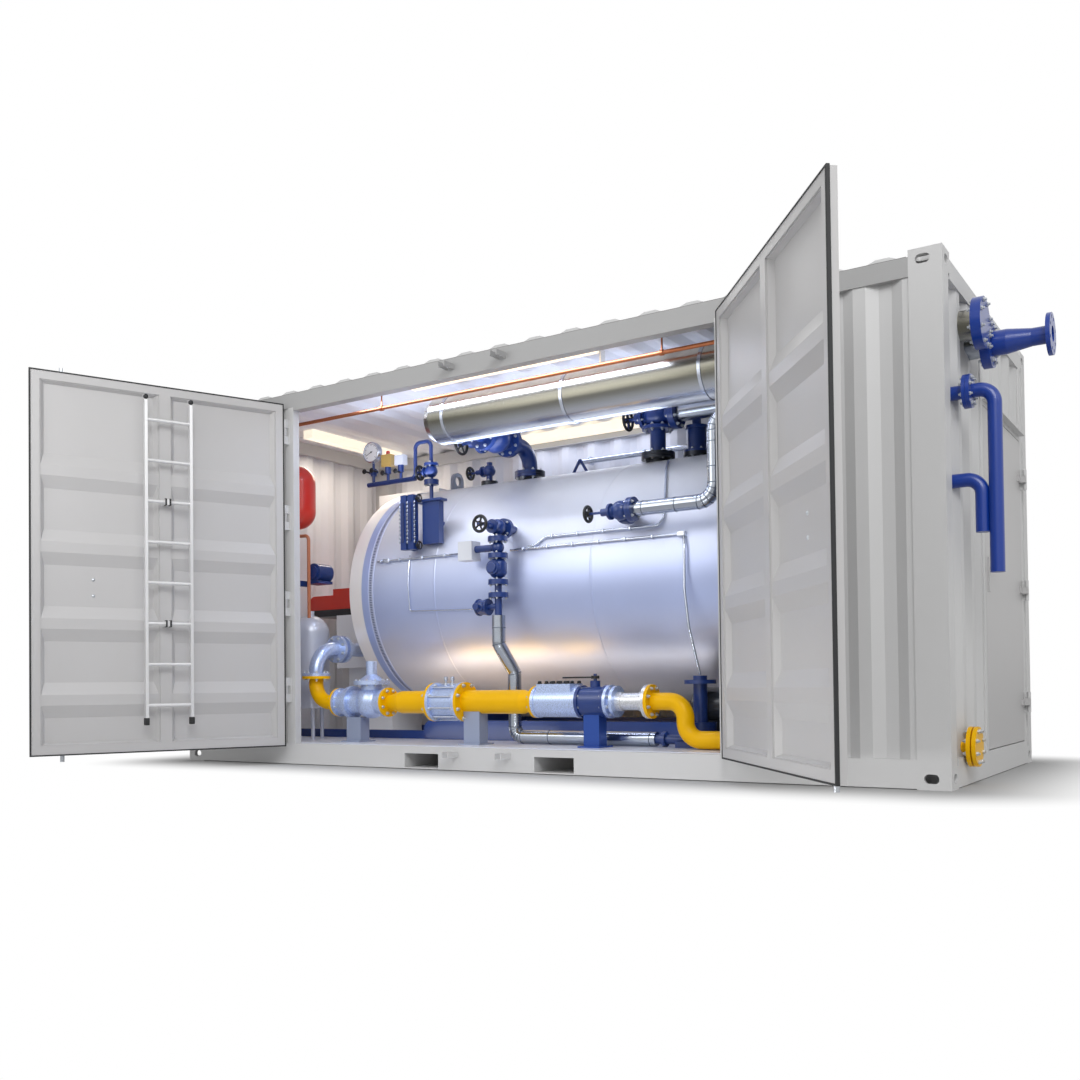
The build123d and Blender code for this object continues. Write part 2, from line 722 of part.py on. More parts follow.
def frustum(x0, x1, z0, z1, y_wide, y_deep, slope_x, slope_z0, slope_z1):
    """Return a tapered block that narrows from one y plane to another."""
    wide = Plane(origin=((x0 + x1) / 2, y_wide, (z0 + z1) / 2), x_dir=X_DIR, z_dir=TO_FRONT)
    deep_z0 = z0 + slope_z0
    deep_z1 = z1 - slope_z1
    deep = Plane(origin=((x0 + x1) / 2, y_deep, (deep_z0 + deep_z1) / 2), x_dir=X_DIR, z_dir=TO_FRONT)
    first = wide * Rectangle(x1 - x0, z1 - z0)
    last = deep * Rectangle(x1 - x0 - 2 * slope_x, deep_z1 - deep_z0)
    return loft([first, last], ruled=True)


def press_rows():
    """Return the lower and upper edge of each pressed field of a leaf, from the top down."""
    edges = [LEAF_TOP - LEAF_BORDER]
    for ridge in RIDGE_Z:
        edges.append(ridge + PRESS_RIDGE / 2)
        edges.append(ridge - PRESS_RIDGE / 2)
    edges.append(LEAF_BOTTOM + LEAF_BORDER)
    return [(edges[i + 1], edges[i]) for i in range(0, len(edges), 2)]


def pressed_sheet(pane0, pane1, crest):
    """Return one column of pressed fields between two x values, with its crest at a y plane."""
    low = LEAF_BOTTOM + LEAF_BORDER
    high = LEAF_TOP - LEAF_BORDER
    sheet = block(pane0, pane1, crest - PRESS_SHEET, crest, low, high)
    hollows = []
    for z0, z1 in press_rows():
        first = PRESS_END if z0 == low else PRESS_SLOPE
        last = PRESS_END if z1 == high else PRESS_SLOPE
        edge0 = z0 + 6.0
        edge1 = z1 - 6.0
        hollows.append(frustum(pane0 + 8, pane1 - 8, edge0, edge1, crest, crest - PRESS_DEPTH,
                               PRESS_SIDE, first, last))
        sheet = sheet + frustum(pane0 + 4, pane1 - 4, edge0 - 4, edge1 + 4, crest - PRESS_SHEET,
                                crest - PRESS_SHEET - PRESS_DEPTH, PRESS_SIDE, first, last)
    for hollow in hollows:
        sheet = sheet - hollow
    return sheet


def door_leaf():
    """Return the left leaf as it stands closed: frame, pressed fields and hinge straps."""
    hinge_x = DOOR_MID - HINGE_HALF
    x0 = hinge_x + LEAF_GAP
    x1 = DOOR_MID - MEET_GAP / 2
    y0 = FRONT - LEAF_FRONT
    y1 = y0 + LEAF_THICK
    middle = (x0 + x1) / 2
    leaf = block(x0, x1, y0, y1, LEAF_BOTTOM, LEAF_TOP)
    panes = ((x0 + LEAF_BORDER, middle - LEAF_STILE / 2), (middle + LEAF_STILE / 2, x1 - LEAF_BORDER))
    for pane0, pane1 in panes:
        leaf = leaf - block(pane0, pane1, y0 - 1, y1 + 1, LEAF_BOTTOM + LEAF_BORDER, LEAF_TOP - LEAF_BORDER)
    for pane0, pane1 in panes:
        leaf = leaf + pressed_sheet(pane0, pane1, y1 - PRESS_INSET)
    half = KNUCKLE_LEN / 2
    for z in HINGE_Z:
        barrel = bar((hinge_x, HINGE_Y, z - half), (hinge_x, HINGE_Y, z + half), KNUCKLE_R)
        strap = block(hinge_x, x0 + 2, HINGE_Y - KNUCKLE_R, HINGE_Y, z - half, z + half)
        bore = bar((hinge_x, HINGE_Y, z - half - 1), (hinge_x, HINGE_Y, z + half + 1), PIN_R + PIN_CLEAR)
        leaf = leaf + (barrel + strap - bore)
    return leaf


def lock_rod():
    """Return the left leaf's lock rod as it stands closed, with clamps, cams and handle."""
    x = DOOR_MID - ROD_X
    y = FRONT - LEAF_FRONT - ROD_OUT
    face = FRONT - LEAF_FRONT + LEAF_THICK - PRESS_INSET - PRESS_SHEET - PRESS_DEPTH
    pieces = [bar((x, y, LEAF_BOTTOM - ROD_END), (x, y, LEAF_TOP + ROD_END), ROD_R)]
    rows = [(low + high) / 2 for low, high in press_rows()]
    for z in (rows[0], rows[1], rows[3], rows[4]):
        pieces.append(block(x - 42, x + 42, face - 8, face, z - 30, z + 30))
        pieces.append(block(x - 22, x + 22, y - 20, face, z - 24, z + 24))
    grip = LEAF_BOTTOM + HANDLE_RISE
    pieces.append(block(x - 12, x + 12, y - 22, y + 14, grip - 40, grip + 40))
    pieces.append(block(x - 330, x, y - 20, y - 8, grip - 14, grip + 14))
    pieces.append(block(x - 290, x - 230, y - 8, face, grip - 22, grip + 22))
    return fuse(pieces)


def ladder():
    """Return the ladder on the left leaf as the leaf stands closed."""
    hinge_x = DOOR_MID - HINGE_HALF
    y0 = FRONT - LEAF_FRONT + LEAF_THICK
    y = y0 + LADDER_OUT
    left = hinge_x + LADDER_NEAR
    right = left + LADDER_WIDE
    low = LEAF_BOTTOM + LADDER_LOW
    high = LEAF_TOP - LADDER_HIGH
    stile = (hinge_x + LEAF_GAP + DOOR_MID - MEET_GAP / 2) / 2
    pieces = []
    for x in (left, right):
        pieces.append(block(x - RAIL_HALF_X, x + RAIL_HALF_X, y - RAIL_HALF_Y, y + RAIL_HALF_Y, low, high - 40))
        pieces.append(pipe(((x, y, high - 60), (x, y, high), (x, y0 + 18, high)), RAIL_HALF_X, 30.0))
    for index in range(RUNG_COUNT):
        z = LEAF_BOTTOM + RUNG_RISE + index * RUNG_PITCH
        pieces.append(bar((left, y, z), (right, y, z), RUNG_R))
        if index in (2, 5):
            pieces.append(block(stile - 22, stile + 22, y0, y + 16, z - 20, z + 20))
    return fuse(pieces)


def swing_left(shape):
    """Turn a closed left-hand piece to its open rest place."""
    axis = Axis((DOOR_MID - HINGE_HALF, HINGE_Y, 0), Z_DIR)
    return shape.rotate(axis, -LEFT_OPEN)


def swing_right(shape):
    """Turn a closed left-hand piece, mirrored, to the open rest place of the right leaf."""
    axis = Axis((DOOR_MID + HINGE_HALF, HINGE_Y, 0), Z_DIR)
    return mirror(shape, about=Plane.YZ.offset(DOOR_MID)).rotate(axis, RIGHT_OPEN)


def end_door_leaf():
    """Return the pipe-end door leaf with its straps and pull handle."""
    y0 = END_DOOR_FRONT + END_LEAF_GAP
    y1 = END_DOOR_BACK - END_LEAF_GAP
    leaf = block(RIGHT - END_LEAF_THICK, RIGHT, y0, y1, RAIL_TOP + END_LEAF_GAP, END_DOOR_TOP - END_LEAF_GAP)
    x = RIGHT + END_PIN_OUT
    y = END_DOOR_BACK + END_PIN_PAST
    outer = x + END_KNUCKLE_R
    for z in END_HINGE_Z:
        z0 = z - END_KNUCKLE
        z1 = z + END_KNUCKLE
        barrel = bar((x, y, z0), (x, y, z1), END_KNUCKLE_R)
        strap = block(RIGHT + 6, outer, y - 24, y, z0, z1)
        plate = block(RIGHT, RIGHT + 8, y1 - 90, y1 - 3, z0, z1)
        link = block(RIGHT + 6, outer, y1 - 20, y - 10, z0, z1)
        leaf = leaf + (barrel + strap + link + plate - bar((x, y, z0 - 7), (x, y, z1 + 7), END_PIN_R + PIN_CLEAR))
    leaf = leaf + block(RIGHT, RIGHT + 8, y0 + 70, y0 + 106, END_LATCH_Z - 105, END_LATCH_Z + 105)
    z = END_LATCH_Z + 35
    grip = pipe(((RIGHT + 4, y0 + 88, z), (RIGHT + 52, y0 + 88, z), (RIGHT + 52, y0 + 215, z)), 9.0, 16.0)
    return [leaf + grip]


def shell_cut(shape):
    """Trim a nozzle to the boiler's lagging."""
    core = bar((BOILER_FRONT, BOILER_Y, BOILER_Z), (BOILER_REAR, BOILER_Y, BOILER_Z), BOILER_R + SEAT)
    return shape - core


def shell_y(z):
    """Return the y of the boiler's front side at a height."""
    return BOILER_Y - math.sqrt(BOILER_R ** 2 - (z - BOILER_Z) ** 2)


def boiler_shell():
    """Return the lagged shell with its edge band and vent band."""
    x0 = BOILER_FRONT + FRONT_RING
    x1 = BOILER_REAR - REAR_RING
    axis = (BOILER_Y, BOILER_Z)
    shell = bar((x0, *axis), (x1, *axis), BOILER_R)
    band = bar((x0, *axis), (x0 + FRONT_BAND, *axis), BOILER_R + BAND_RISE)
    vent = bar((x0 + FRONT_BAND, *axis), (x0 + FRONT_BAND + VENT_BAND, *axis), BOILER_R + BAND_RISE - 2)
    return [shell + band + vent]


def boiler_front():
    """Return the front ring, the recessed front plate and the burner flange."""
    axis = (BOILER_Y, BOILER_Z)
    recess = BOILER_FRONT + RING_RECESS
    ring = bar((BOILER_FRONT, *axis), (BOILER_FRONT + FRONT_RING, *axis), BOILER_R)
    ring = ring - bar((BOILER_FRONT - 1, *axis), (recess, *axis), BOILER_R - RING_WALL)
    return [ring + bar((BOILER_FRONT + 10, BOILER_Y, BURNER_Z), (recess, BOILER_Y, BURNER_Z), HATCH_R)]


def boiler_rear():
    """Return the rear cover with its round hatch."""
    axis = (BOILER_Y, BOILER_Z)
    ring = bar((BOILER_REAR - REAR_RING, *axis), (BOILER_REAR, *axis), BOILER_R)
    return [ring + bar((BOILER_REAR, *axis), (BOILER_REAR + HATCH_THICK, *axis), HATCH_R)]


def boiler_skid():
    """Return the two skid beams with saddles and the low rails to the burner end."""
    top = FLOOR_TOP + SKID_TALL
    half = SKID_WIDE / 2
    pieces = []
    for x in (BOILER_FRONT + SADDLE_IN, BOILER_REAR - SADDLE_OUT):
        pieces.append(block(x - 60, x + 60, BOILER_Y - SKID_SPREAD, BOILER_Y + SKID_SPREAD, FLOOR_TOP, top))
        pieces.append(block(x - 60, x + 60, BOILER_Y - SADDLE_HALF, BOILER_Y + SADDLE_HALF, FLOOR_TOP, SADDLE_TOP))
    for side in (-1, 1):
        y = BOILER_Y + side * SKID_SPREAD
        nose = (FLOOR_TOP + top) / 2
        pieces.append(block(SKID_START, BOILER_REAR - 60, y - half, y + half, FLOOR_TOP, top))
        pieces.append(bar((SKID_START, y - half, nose), (SKID_START, y + half, nose), SKID_TALL / 2))
        pieces.append(block(LEFT + 150, SKID_START, y - 40, y + 40, FLOOR_TOP, FLOOR_TOP + LOW_RAIL))
    return [shell_cut(fuse(pieces))]


def burner_housing():
    """Return the burner's wind box, head, gas inlet pipe and foot."""
    y = BOILER_Y
    pieces = [block(BURNER_LEFT, BURNER_RIGHT, y - BURNER_HALF, y + BURNER_HALF, BURNER_BOTTOM, BURNER_TOP)]
    pieces.append(bar((HOOD_RIGHT + 10, y, BURNER_Z), (BOILER_FRONT - 20, y, BURNER_Z), BURNER_HEAD_R))
    pieces.append(bar((BOILER_FRONT - 30, y, BURNER_Z), (BOILER_FRONT + 10, y, BURNER_Z), BURNER_FLANGE_R))
    pieces.append(bar((RISER_X, y - RISER_REACH, RISER_TOP), (RISER_X, y, RISER_TOP), GAS_R))
    pieces.append(block(BURNER_LEFT + 80, BURNER_RIGHT - 20, y - 200, y + 200, FLOOR_TOP, BURNER_BOTTOM + 10))
    return [fuse(pieces)]


def burner_cover():
    """Return the burner's stepped fan hood, which rests on the wind box."""
    y0 = BOILER_Y - HOOD_HALF
    y1 = BOILER_Y + HOOD_HALF
    turn = HOOD_LEFT + HOOD_ROUND
    crown = HOOD_LOW_TOP - HOOD_ROUND
    return [fuse([block(turn, HOOD_RIGHT, y0, y1, BURNER_TOP, HOOD_LOW_TOP),
                  block(HOOD_LEFT, turn, y0, y1, BURNER_TOP, crown),
                  bar((turn, y0, crown), (turn, y1, crown), HOOD_ROUND),
                  block(HOOD_STEP, HOOD_RIGHT, y0, y1, BURNER_TOP, HOOD_TOP)])]


def gas_riser():
    """Return the elbow that lifts the gas line to the burner."""
    x = RISER_X
    y = GAS_Y
    z = RISER_TOP
    pieces = [pipe(((x, y, RISER_JOINT + FLANGE - 1), (x, y, z), (x, y + 400, z)), GAS_R, 195.0)]
    pieces.append(disc((x, y, RISER_JOINT + FLANGE / 2), Z_DIR, GAS_FLANGE, FLANGE))
    pieces.append(disc((x, y + 235, z), Y_DIR, GAS_FLANGE, 26.0))
    pieces.append(disc((x, y + 300, z), Y_DIR, GAS_FLANGE, 30.0))
    pieces.append(bar((x, y + 300, z), (x, BOILER_Y - RISER_REACH, z), GAS_R))
    return [fuse(pieces)]


def steam_header():
    """Return the lagged steam header with its domed end, seams, hangers and wall pipe."""
    far = HEADER_FAR + HEADER_NECK
    axis = (HEADER_Y, HEADER_Z)
    pieces = [bar((HEADER_END, *axis), (HEADER_FAR, *axis), HEADER_R)]
    for (out0, radius0), (out1, radius1) in zip(HEADER_DOME, HEADER_DOME[1:]):
        pieces.append(cone((HEADER_END - out0, *axis), (HEADER_END - out1, *axis), radius0, radius1))
    pieces.append(cone((HEADER_FAR, *axis), (far, *axis), HEADER_R, STEAM_R))
    pieces.append(bar((far, *axis), (RIGHT + OUTLET_FACE, *axis), STEAM_R))
    for x in SEAM_X:
        pieces.append(disc((x, *axis), X_DIR, HEADER_R + SEAM_RISE, SEAM_WIDE))
    for x in HEADER_HANGER_X:
        pieces.append(block(x - 6, x + 6, HEADER_Y - 30, HEADER_Y + 30, HEADER_Z, TOP_RAIL_TOP))
    return [fuse(pieces)]


def steam_outlets():
    """Return the flanged pipe ends outside the pipe-end wall."""
    face = RIGHT + OUTLET_FACE
    axis = (HEADER_Y, HEADER_Z)
    blind = fuse([disc((face + 13, *axis), X_DIR, GAS_WIDE_FLANGE, 26.0),
                  disc((face + 40, *axis), X_DIR, GAS_WIDE_FLANGE, 28.0)])
    axis = (OUTLET_Y, OUTLET_Z)
    vent = fuse([disc((face + 13, *axis), X_DIR, OUTLET_FLANGE_R, 26.0),
                 disc((face + 39, *axis), X_DIR, OUTLET_FLANGE_R, 26.0),
                 bar((face + 41, *axis), (face + 130, *axis), OUTLET_R),
                 cone((face + 130, *axis), (face + 260, *axis), OUTLET_R, OUTLET_END_R),
                 bar((face + 260, *axis), (face + 350, *axis), OUTLET_END_R),
                 disc((face + 354, *axis), X_DIR, MAIN_FLANGE_R, 24.0)])
    vent = vent - bar((face + 310, *axis), (face + 380, *axis), OUTLET_END_R - 6)
    for index in range(OUTLET_HOLES):
        turn = math.radians((index + 0.5) * 360.0 / OUTLET_HOLES)
        at_y = OUTLET_Y + OUTLET_PCD / 2 * math.cos(turn)
        at_z = OUTLET_Z + OUTLET_PCD / 2 * math.sin(turn)
        vent = vent - bar((face + 335, at_y, at_z), (face + 380, at_y, at_z), OUTLET_HOLE_R)
    return [blind, vent]


def vent_pipes():
    """Return the two turned-down pipes outside the pipe-end wall."""
    pipes = []
    for y, z, out, end in (HIGH_VENT, LOW_VENT):
        x = RIGHT + out
        pipes.append(pipe(((RIGHT - 120, y, z), (x, y, z), (x, y, end)), WALL_VENT_R, 80.0))
    for out in (48.0, 69.0):
        pipes[0] = pipes[0] + disc((RIGHT + out, *HIGH_VENT[:2]), X_DIR, 92.5, 20.0)
    return pipes


def main_steam_valve():
    """Return the main steam valve from the header to the boiler's nozzle."""
    x = MAIN_X
    y = MAIN_Y
    z = MAIN_Z
    last = y + MAIN_FACE + 12
    pieces = [bar((x, HEADER_Y, z), (x, last, z), MAIN_R)]
    pieces.append(ball((x, y, z), MAIN_BODY_R))
    for side in (-1, 1):
        for out in (MAIN_FACE - 12, MAIN_FACE + 12):
            pieces.append(disc((x, y + side * out, z), Y_DIR, MAIN_FLANGE_R, 24.0))
    pieces.append(bonnet((x, y, z), TO_LEFT, MAIN_STEM))
    pieces.append(pipe(((x, last, z), (x, BOILER_Y, z), (x, BOILER_Y, BOILER_TOP - 40)), MAIN_R, 150.0))
    for rise in (41.0, 67.0):
        pieces.append(disc((x, BOILER_Y, BOILER_TOP + rise), Z_DIR, NOZZLE_FLANGE_R, 24.0))
    core = bar((HEADER_END, HEADER_Y, HEADER_Z), (HEADER_FAR, HEADER_Y, HEADER_Z), HEADER_R + SEAT)
    seam = disc((SEAM_X[0], HEADER_Y, HEADER_Z), X_DIR, HEADER_R + SEAM_RISE + SEAT, SEAM_WIDE + 2 * SEAT)
    return [shell_cut(fuse(pieces)) - core - seam]


def main_steam_handwheel():
    """Return the main steam valve's handwheel."""
    out, radius = MAIN_WHEEL
    return [wheel((MAIN_X - out, MAIN_Y, MAIN_Z), X_DIR, radius, MAIN_STEM[-1][1] + SEAT)]


def fixed_wheel(centre, size, stem):
    """Return a handwheel pressed on its stem, on the left of a valve body."""
    out, radius = size
    return wheel(shifted(centre, TO_LEFT, out), X_DIR, radius, stem[-1][1] - SEAT)


def second_steam_valve():
    """Return the second steam valve on top of the boiler."""
    x = SECOND_X
    y = SECOND_Y
    z = SECOND_Z
    pieces = [bar((x, y, BOILER_TOP - 120), (x, y, z), 58.0), ball((x, y, z), 100.0)]
    for at_z, radius in ((BOILER_TOP + 7, NOZZLE_FLANGE_R), (BOILER_TOP + 33, NOZZLE_FLANGE_R),
                         (z - 96, MAIN_FLANGE_R)):
        pieces.append(disc((x, y, at_z), Z_DIR, radius, 24.0))
    pieces.append(bar((x, y, z), (x + SECOND_FACE, y, z), 60.0))
    for out in (SECOND_FACE - 36, SECOND_FACE - 12):
        pieces.append(disc((x + out, y, z), X_DIR, MAIN_FLANGE_R, 24.0))
    pieces.append(bonnet((x, y, z), TO_LEFT, SECOND_STEM))
    pieces.append(fixed_wheel((x, y, z), SECOND_WHEEL, SECOND_STEM))
    return fuse(pieces)


def safety_valve():
    """Return the safety valve with its side outlet."""
    x = SAFETY_X
    y = BOILER_Y
    top = BOILER_TOP
    return fuse([bar((x, y, top - 60), (x, y, top + 66), 50.0),
                 disc((x, y, top + 26), Z_DIR, 100.0, 22.0),
                 disc((x, y, top + 50), Z_DIR, 100.0, 26.0),
                 bar((x, y, top + 56), (x, y, top + 230), 72.0),
                 bar((x, y + 20, top + 150), (x, y + 150, top + 150), 48.0),
                 disc((x, y + 140, top + 150), Y_DIR, 92.0, 22.0),
                 disc((x, y, top + 236), Z_DIR, 84.0, 20.0),
                 bar((x, y, top + 240), (x, y, top + 340), 34.0)])


def vent_valve():
    """Return the air vent valve near the boiler's front."""
    centre = (VENT_X, BOILER_Y, VENT_Z)
    pieces = [bar((VENT_X, BOILER_Y, BOILER_TOP - 60), (VENT_X, BOILER_Y, VENT_Z + 70), 26.0), ball(centre, 52.0)]
    for rise in (15.0, 36.0):
        pieces.append(disc((VENT_X, BOILER_Y, BOILER_TOP + rise), Z_DIR, 70.0, 20.0))
    pieces.append(bonnet(centre, TO_LEFT, VENT_STEM))
    pieces.append(fixed_wheel(centre, VENT_WHEEL, VENT_STEM))
    return fuse(pieces)


def lifting_lug(x):
    """Return one lifting lug with its eye."""
    z = BOILER_TOP + LUG_RISE
    lug = bar((x - 15, BOILER_Y, z), (x + 15, BOILER_Y, z), LUG_R)
    lug = lug + block(x - 15, x + 15, BOILER_Y - LUG_R, BOILER_Y + LUG_R, BOILER_TOP - 20, z)
    return lug - bar((x - 20, BOILER_Y, z), (x + 20, BOILER_Y, z), LUG_HOLE)


def boiler_top_valves():
    """Return the second steam valve, safety valve, vent valve and lifting lugs on top of the boiler."""
    fittings = [second_steam_valve(), safety_valve(), vent_valve()] + [lifting_lug(x) for x in LUG_X]
    return [shell_cut(part) for part in fittings]


def lagged_lines():
    """Return the lagged feed line, blowdown line and second steam line."""
    y = FEED_Y
    feed = pipe(((FEED_X + FEED_FACE, y, FEED_Z), (FEED_RISE_X, y, FEED_Z), (FEED_RISE_X, y, FEED_HIGH_Z),
                 (FEED_FAR_X, y, FEED_HIGH_Z), (FEED_FAR_X, y + FEED_BACK, FEED_HIGH_Z),
                 (FEED_FAR_X, y + FEED_BACK, FLOOR_TOP)), LAG_R, 110.0)
    x = DRAIN_X + DRAIN_SIDE
    y = DRAIN_Y + DRAIN_BACK
    drain = pipe(((DRAIN_X, DRAIN_Y, DRAIN_LAG_TOP), (DRAIN_X, DRAIN_Y, DRAIN_BEND_TOP), (x, y, DRAIN_BEND_LOW),
                  (x, y, DRAIN_LOW_Z), (DRAIN_END_X, y, DRAIN_LOW_Z)), LAG_R, 70.0)
    steam = pipe(((SECOND_X + SECOND_FACE, SECOND_Y, SECOND_Z), (1950, SECOND_Y, SECOND_Z),
                  (2450, OUTLET_Y, OUTLET_Z), (RIGHT + OUTLET_FACE, OUTLET_Y, OUTLET_Z)), OUTLET_R, 180.0)
    return [feed, drain, steam]


def feed_valve():
    """Return the feed valve on the boiler's side."""
    centre = (FEED_X, FEED_Y, FEED_Z)
    pieces = [ball(centre, 66.0), bar(centre, (FEED_X + FEED_FACE - 8, FEED_Y, FEED_Z), 40.0)]
    for out in (FEED_FACE - 32, FEED_FACE - 10):
        pieces.append(disc((FEED_X + out, FEED_Y, FEED_Z), X_DIR, 82.5, 20.0))
    pieces.append(bar(centre, (FEED_X, shell_y(FEED_Z) + 60, FEED_Z), 40.0))
    pieces.append(disc((FEED_X, FEED_Y + 90, FEED_Z), Y_DIR, 82.5, 40.0))
    pieces.append(bonnet(centre, TO_LEFT, FEED_STEM))
    return [shell_cut(fuse(pieces))]


def feed_handwheel():
    """Return the feed valve's handwheel."""
    out, radius = FEED_WHEEL
    return [wheel((FEED_X - out, FEED_Y, FEED_Z), X_DIR, radius, FEED_STEM[-1][1] + SEAT)]


def desalting_valves():
    """Return the desalting valve stack on the boiler's side."""
    x = DRAIN_X
    y = DRAIN_Y
    centre = (x, y, DRAIN_Z)
    pieces = [ball(centre, 58.0), bar(centre, (x, shell_y(DRAIN_Z) + 60, DRAIN_Z), 32.0)]
    pieces.append(disc((x, y + 84, DRAIN_Z), Y_DIR, 72.0, 36.0))
    pieces.append(bonnet(centre, TO_FRONT, DRAIN_STEM))
    pieces.append(bar(centre, (x, y, DRAIN_LAG_TOP), 26.0))
    for drop in DRAIN_FLANGES:
        pieces.append(disc((x, y, DRAIN_Z - drop), Z_DIR, 72.0, 36.0))
    for drop, radius in DRAIN_BODIES:
        pieces.append(ball((x, y, DRAIN_Z - drop), radius))
    motor = DRAIN_Z - DRAIN_BODIES[0][0]
    pieces.append(bar((x, y, motor), (x - 200, y, motor), 26.0))
    pieces.append(block(x - 320, x - 195, y - 55, y + 55, motor - 80, motor + 60))
    sample = DRAIN_LAG_TOP + 65
    pieces.append(bar((x, y, sample), (x - 170, y, sample), 22.0))
    pieces.append(block(x - 170, x - 90, y - 36, y + 36, sample - 40, sample + 40))
    return [shell_cut(fuse(pieces))]


def desalting_handwheel():
    """Return the desalting valve's handwheel."""
    out, radius = DRAIN_WHEEL
    return [wheel((DRAIN_X, DRAIN_Y - out, DRAIN_Z), Y_DIR, radius, DRAIN_STEM[-1][1] + SEAT)]


def level_gauge():
    """Return the two water-level gauges and the level controller box on the boiler's side."""
    y = GAUGE_Y
    z0, z1 = GAUGE_Z
    middle = (GAUGE_LEFT[1] + GAUGE_RIGHT[0]) / 2
    pieces = []
    for z in (z0 + GAUGE_ARM, z1 - GAUGE_ARM):
        pieces.append(bar((GAUGE_LEFT[0] + 10, y, z), (GAUGE_RIGHT[1] - 10, y, z), 18.0))
        pieces.append(bar((middle, y, z), (middle, shell_y(z) + 60, z), 22.0))
        pieces.append(ball((middle, y + 50, z), 36.0))
    for x0, x1 in (GAUGE_LEFT, GAUGE_RIGHT):
        pieces.append(block(x0, x1, y - 30, y + 30, z0, z1))
    x0, x1, y0, y1, z0, z1 = LEVEL_BOX
    x = (x0 + x1) / 2
    z = (z0 + z1) / 2
    box = block(*LEVEL_BOX) + bar((x, y1 - 10, z), (x, shell_y(z) + 40, z), 26.0)
    return [shell_cut(fuse(pieces)), shell_cut(box)]


def instrument_manifold():
    """Return the pressure instruments' manifold above the boiler front."""
    x0, x1 = MANIFOLD_X
    y = MANIFOLD_Y
    z = MANIFOLD_Z
    pieces = [bar((x0, y, z), (x1, y, z), 20.0)]
    for x in TAP_X:
        pieces.append(bar((x, y, z), (x, y, z + 110), 13.0))
        pieces.append(bar((x, y, z + 70), (x, y, z + 130), 26.0))
    dial, switch, cell = TAP_X
    pieces.append(bar((dial, y, z + 110), (dial, y, z + DIAL_RISE - DIAL_R + 10), 11.0))
    pieces.append(disc((dial, y - 6, z + DIAL_RISE), Y_DIR, DIAL_R, 46.0))
    pieces.append(block(switch - 50, switch + 50, y - 30, y + 30, z + 128, z + 230))
    pieces.append(block(cell - 45, cell + 45, y - 30, y + 30, z + 128, z + 210))
    pieces.append(pipe(((x1 - 60, y, z), (x1, y, z), (x1, y, SYPHON_TOP), (SYPHON_X, y, SYPHON_TOP),
                        (SYPHON_X, y, SYPHON_FOOT)), 16.0, 50.0))
    valve = (SYPHON_X, y, SYPHON_VALVE_Z)
    pieces.append(ball(valve, 52.0))
    pieces.append(disc((SYPHON_X, y, SYPHON_VALVE_Z + 56), Z_DIR, 60.0, 20.0))
    pieces.append(disc((SYPHON_X, y, SYPHON_VALVE_Z - 90), Z_DIR, 60.0, 40.0))
    pieces.append(bonnet(valve, TO_LEFT, SYPHON_STEM))
    pieces.append(fixed_wheel(valve, SYPHON_WHEEL, SYPHON_STEM))
    return [shell_cut(fuse(pieces))]


def gas_disc(face, side, radius):
    """Return one flange of the gas train, on one side of a joint face."""
    return disc((face + side * FLANGE / 2, GAS_Y, GAS_Z), X_DIR, radius, FLANGE)


def gas_line():
    """Return the yellow gas pipes with their flanges, from the burner riser to the inlet."""
    y = GAS_Y
    z = GAS_Z
    riser = fuse([pipe(((RISER_X, y, RISER_JOINT - FLANGE + 3), (RISER_X, y, z), (REG_LEFT, y, z)), GAS_R, 150.0),
                  disc((RISER_X, y, RISER_JOINT - FLANGE / 2), Z_DIR, GAS_FLANGE, FLANGE),
                  gas_disc(REG_LEFT, -1, GAS_FLANGE)])
    front = fuse([gas_disc(REG_RIGHT, 1, GAS_FLANGE), bar((REG_RIGHT, y, z), (CONE_X[0], y, z), GAS_R),
                  cone((CONE_X[0], y, z), (CONE_X[1], y, z), GAS_R, GAS_WIDE_R),
                  bar((CONE_X[1], y, z), (FILTER_X[0], y, z), GAS_WIDE_R),
                  gas_disc(FILTER_X[0], -1, GAS_WIDE_FLANGE)])
    middle = fuse([gas_disc(FILTER_X[1], 1, GAS_WIDE_FLANGE),
                   bar((FILTER_X[1], y, z), (NECK_X[0], y, z), GAS_WIDE_R),
                   cone((NECK_X[0], y, z), (NECK_X[1], y, z), GAS_WIDE_R, GAS_R),
                   bar((NECK_X[1], y, z), (SHUT_X[0], y, z), GAS_R), gas_disc(SHUT_X[0], -1, GAS_FLANGE)])
    low = pipe(((HOSE_X[1], y, z), (DROP_X, y, z), (DROP_X, y, GAS_LOW_Z), (GAS_FAR_X, y, GAS_LOW_Z)), GAS_R, 110.0)
    end = (INLET_Y, INLET_Z)
    low = fuse([low, gas_disc(HOSE_X[1], 1, GAS_FLANGE),
                cone((GAS_FAR_X, y, GAS_LOW_Z), (INLET_X, *end), GAS_R, INLET_R),
                bar((INLET_X, *end), (RIGHT + 30, *end), INLET_R),
                disc((RIGHT + 26, *end), X_DIR, INLET_FLANGE_R, FLANGE),
                disc((RIGHT + 56, *end), X_DIR, INLET_FLANGE_R, FLANGE),
                bar((RIGHT + 36, *end), (RIGHT + 46, *end), INLET_FLANGE_R - 30)])
    return [riser, front, middle, low]


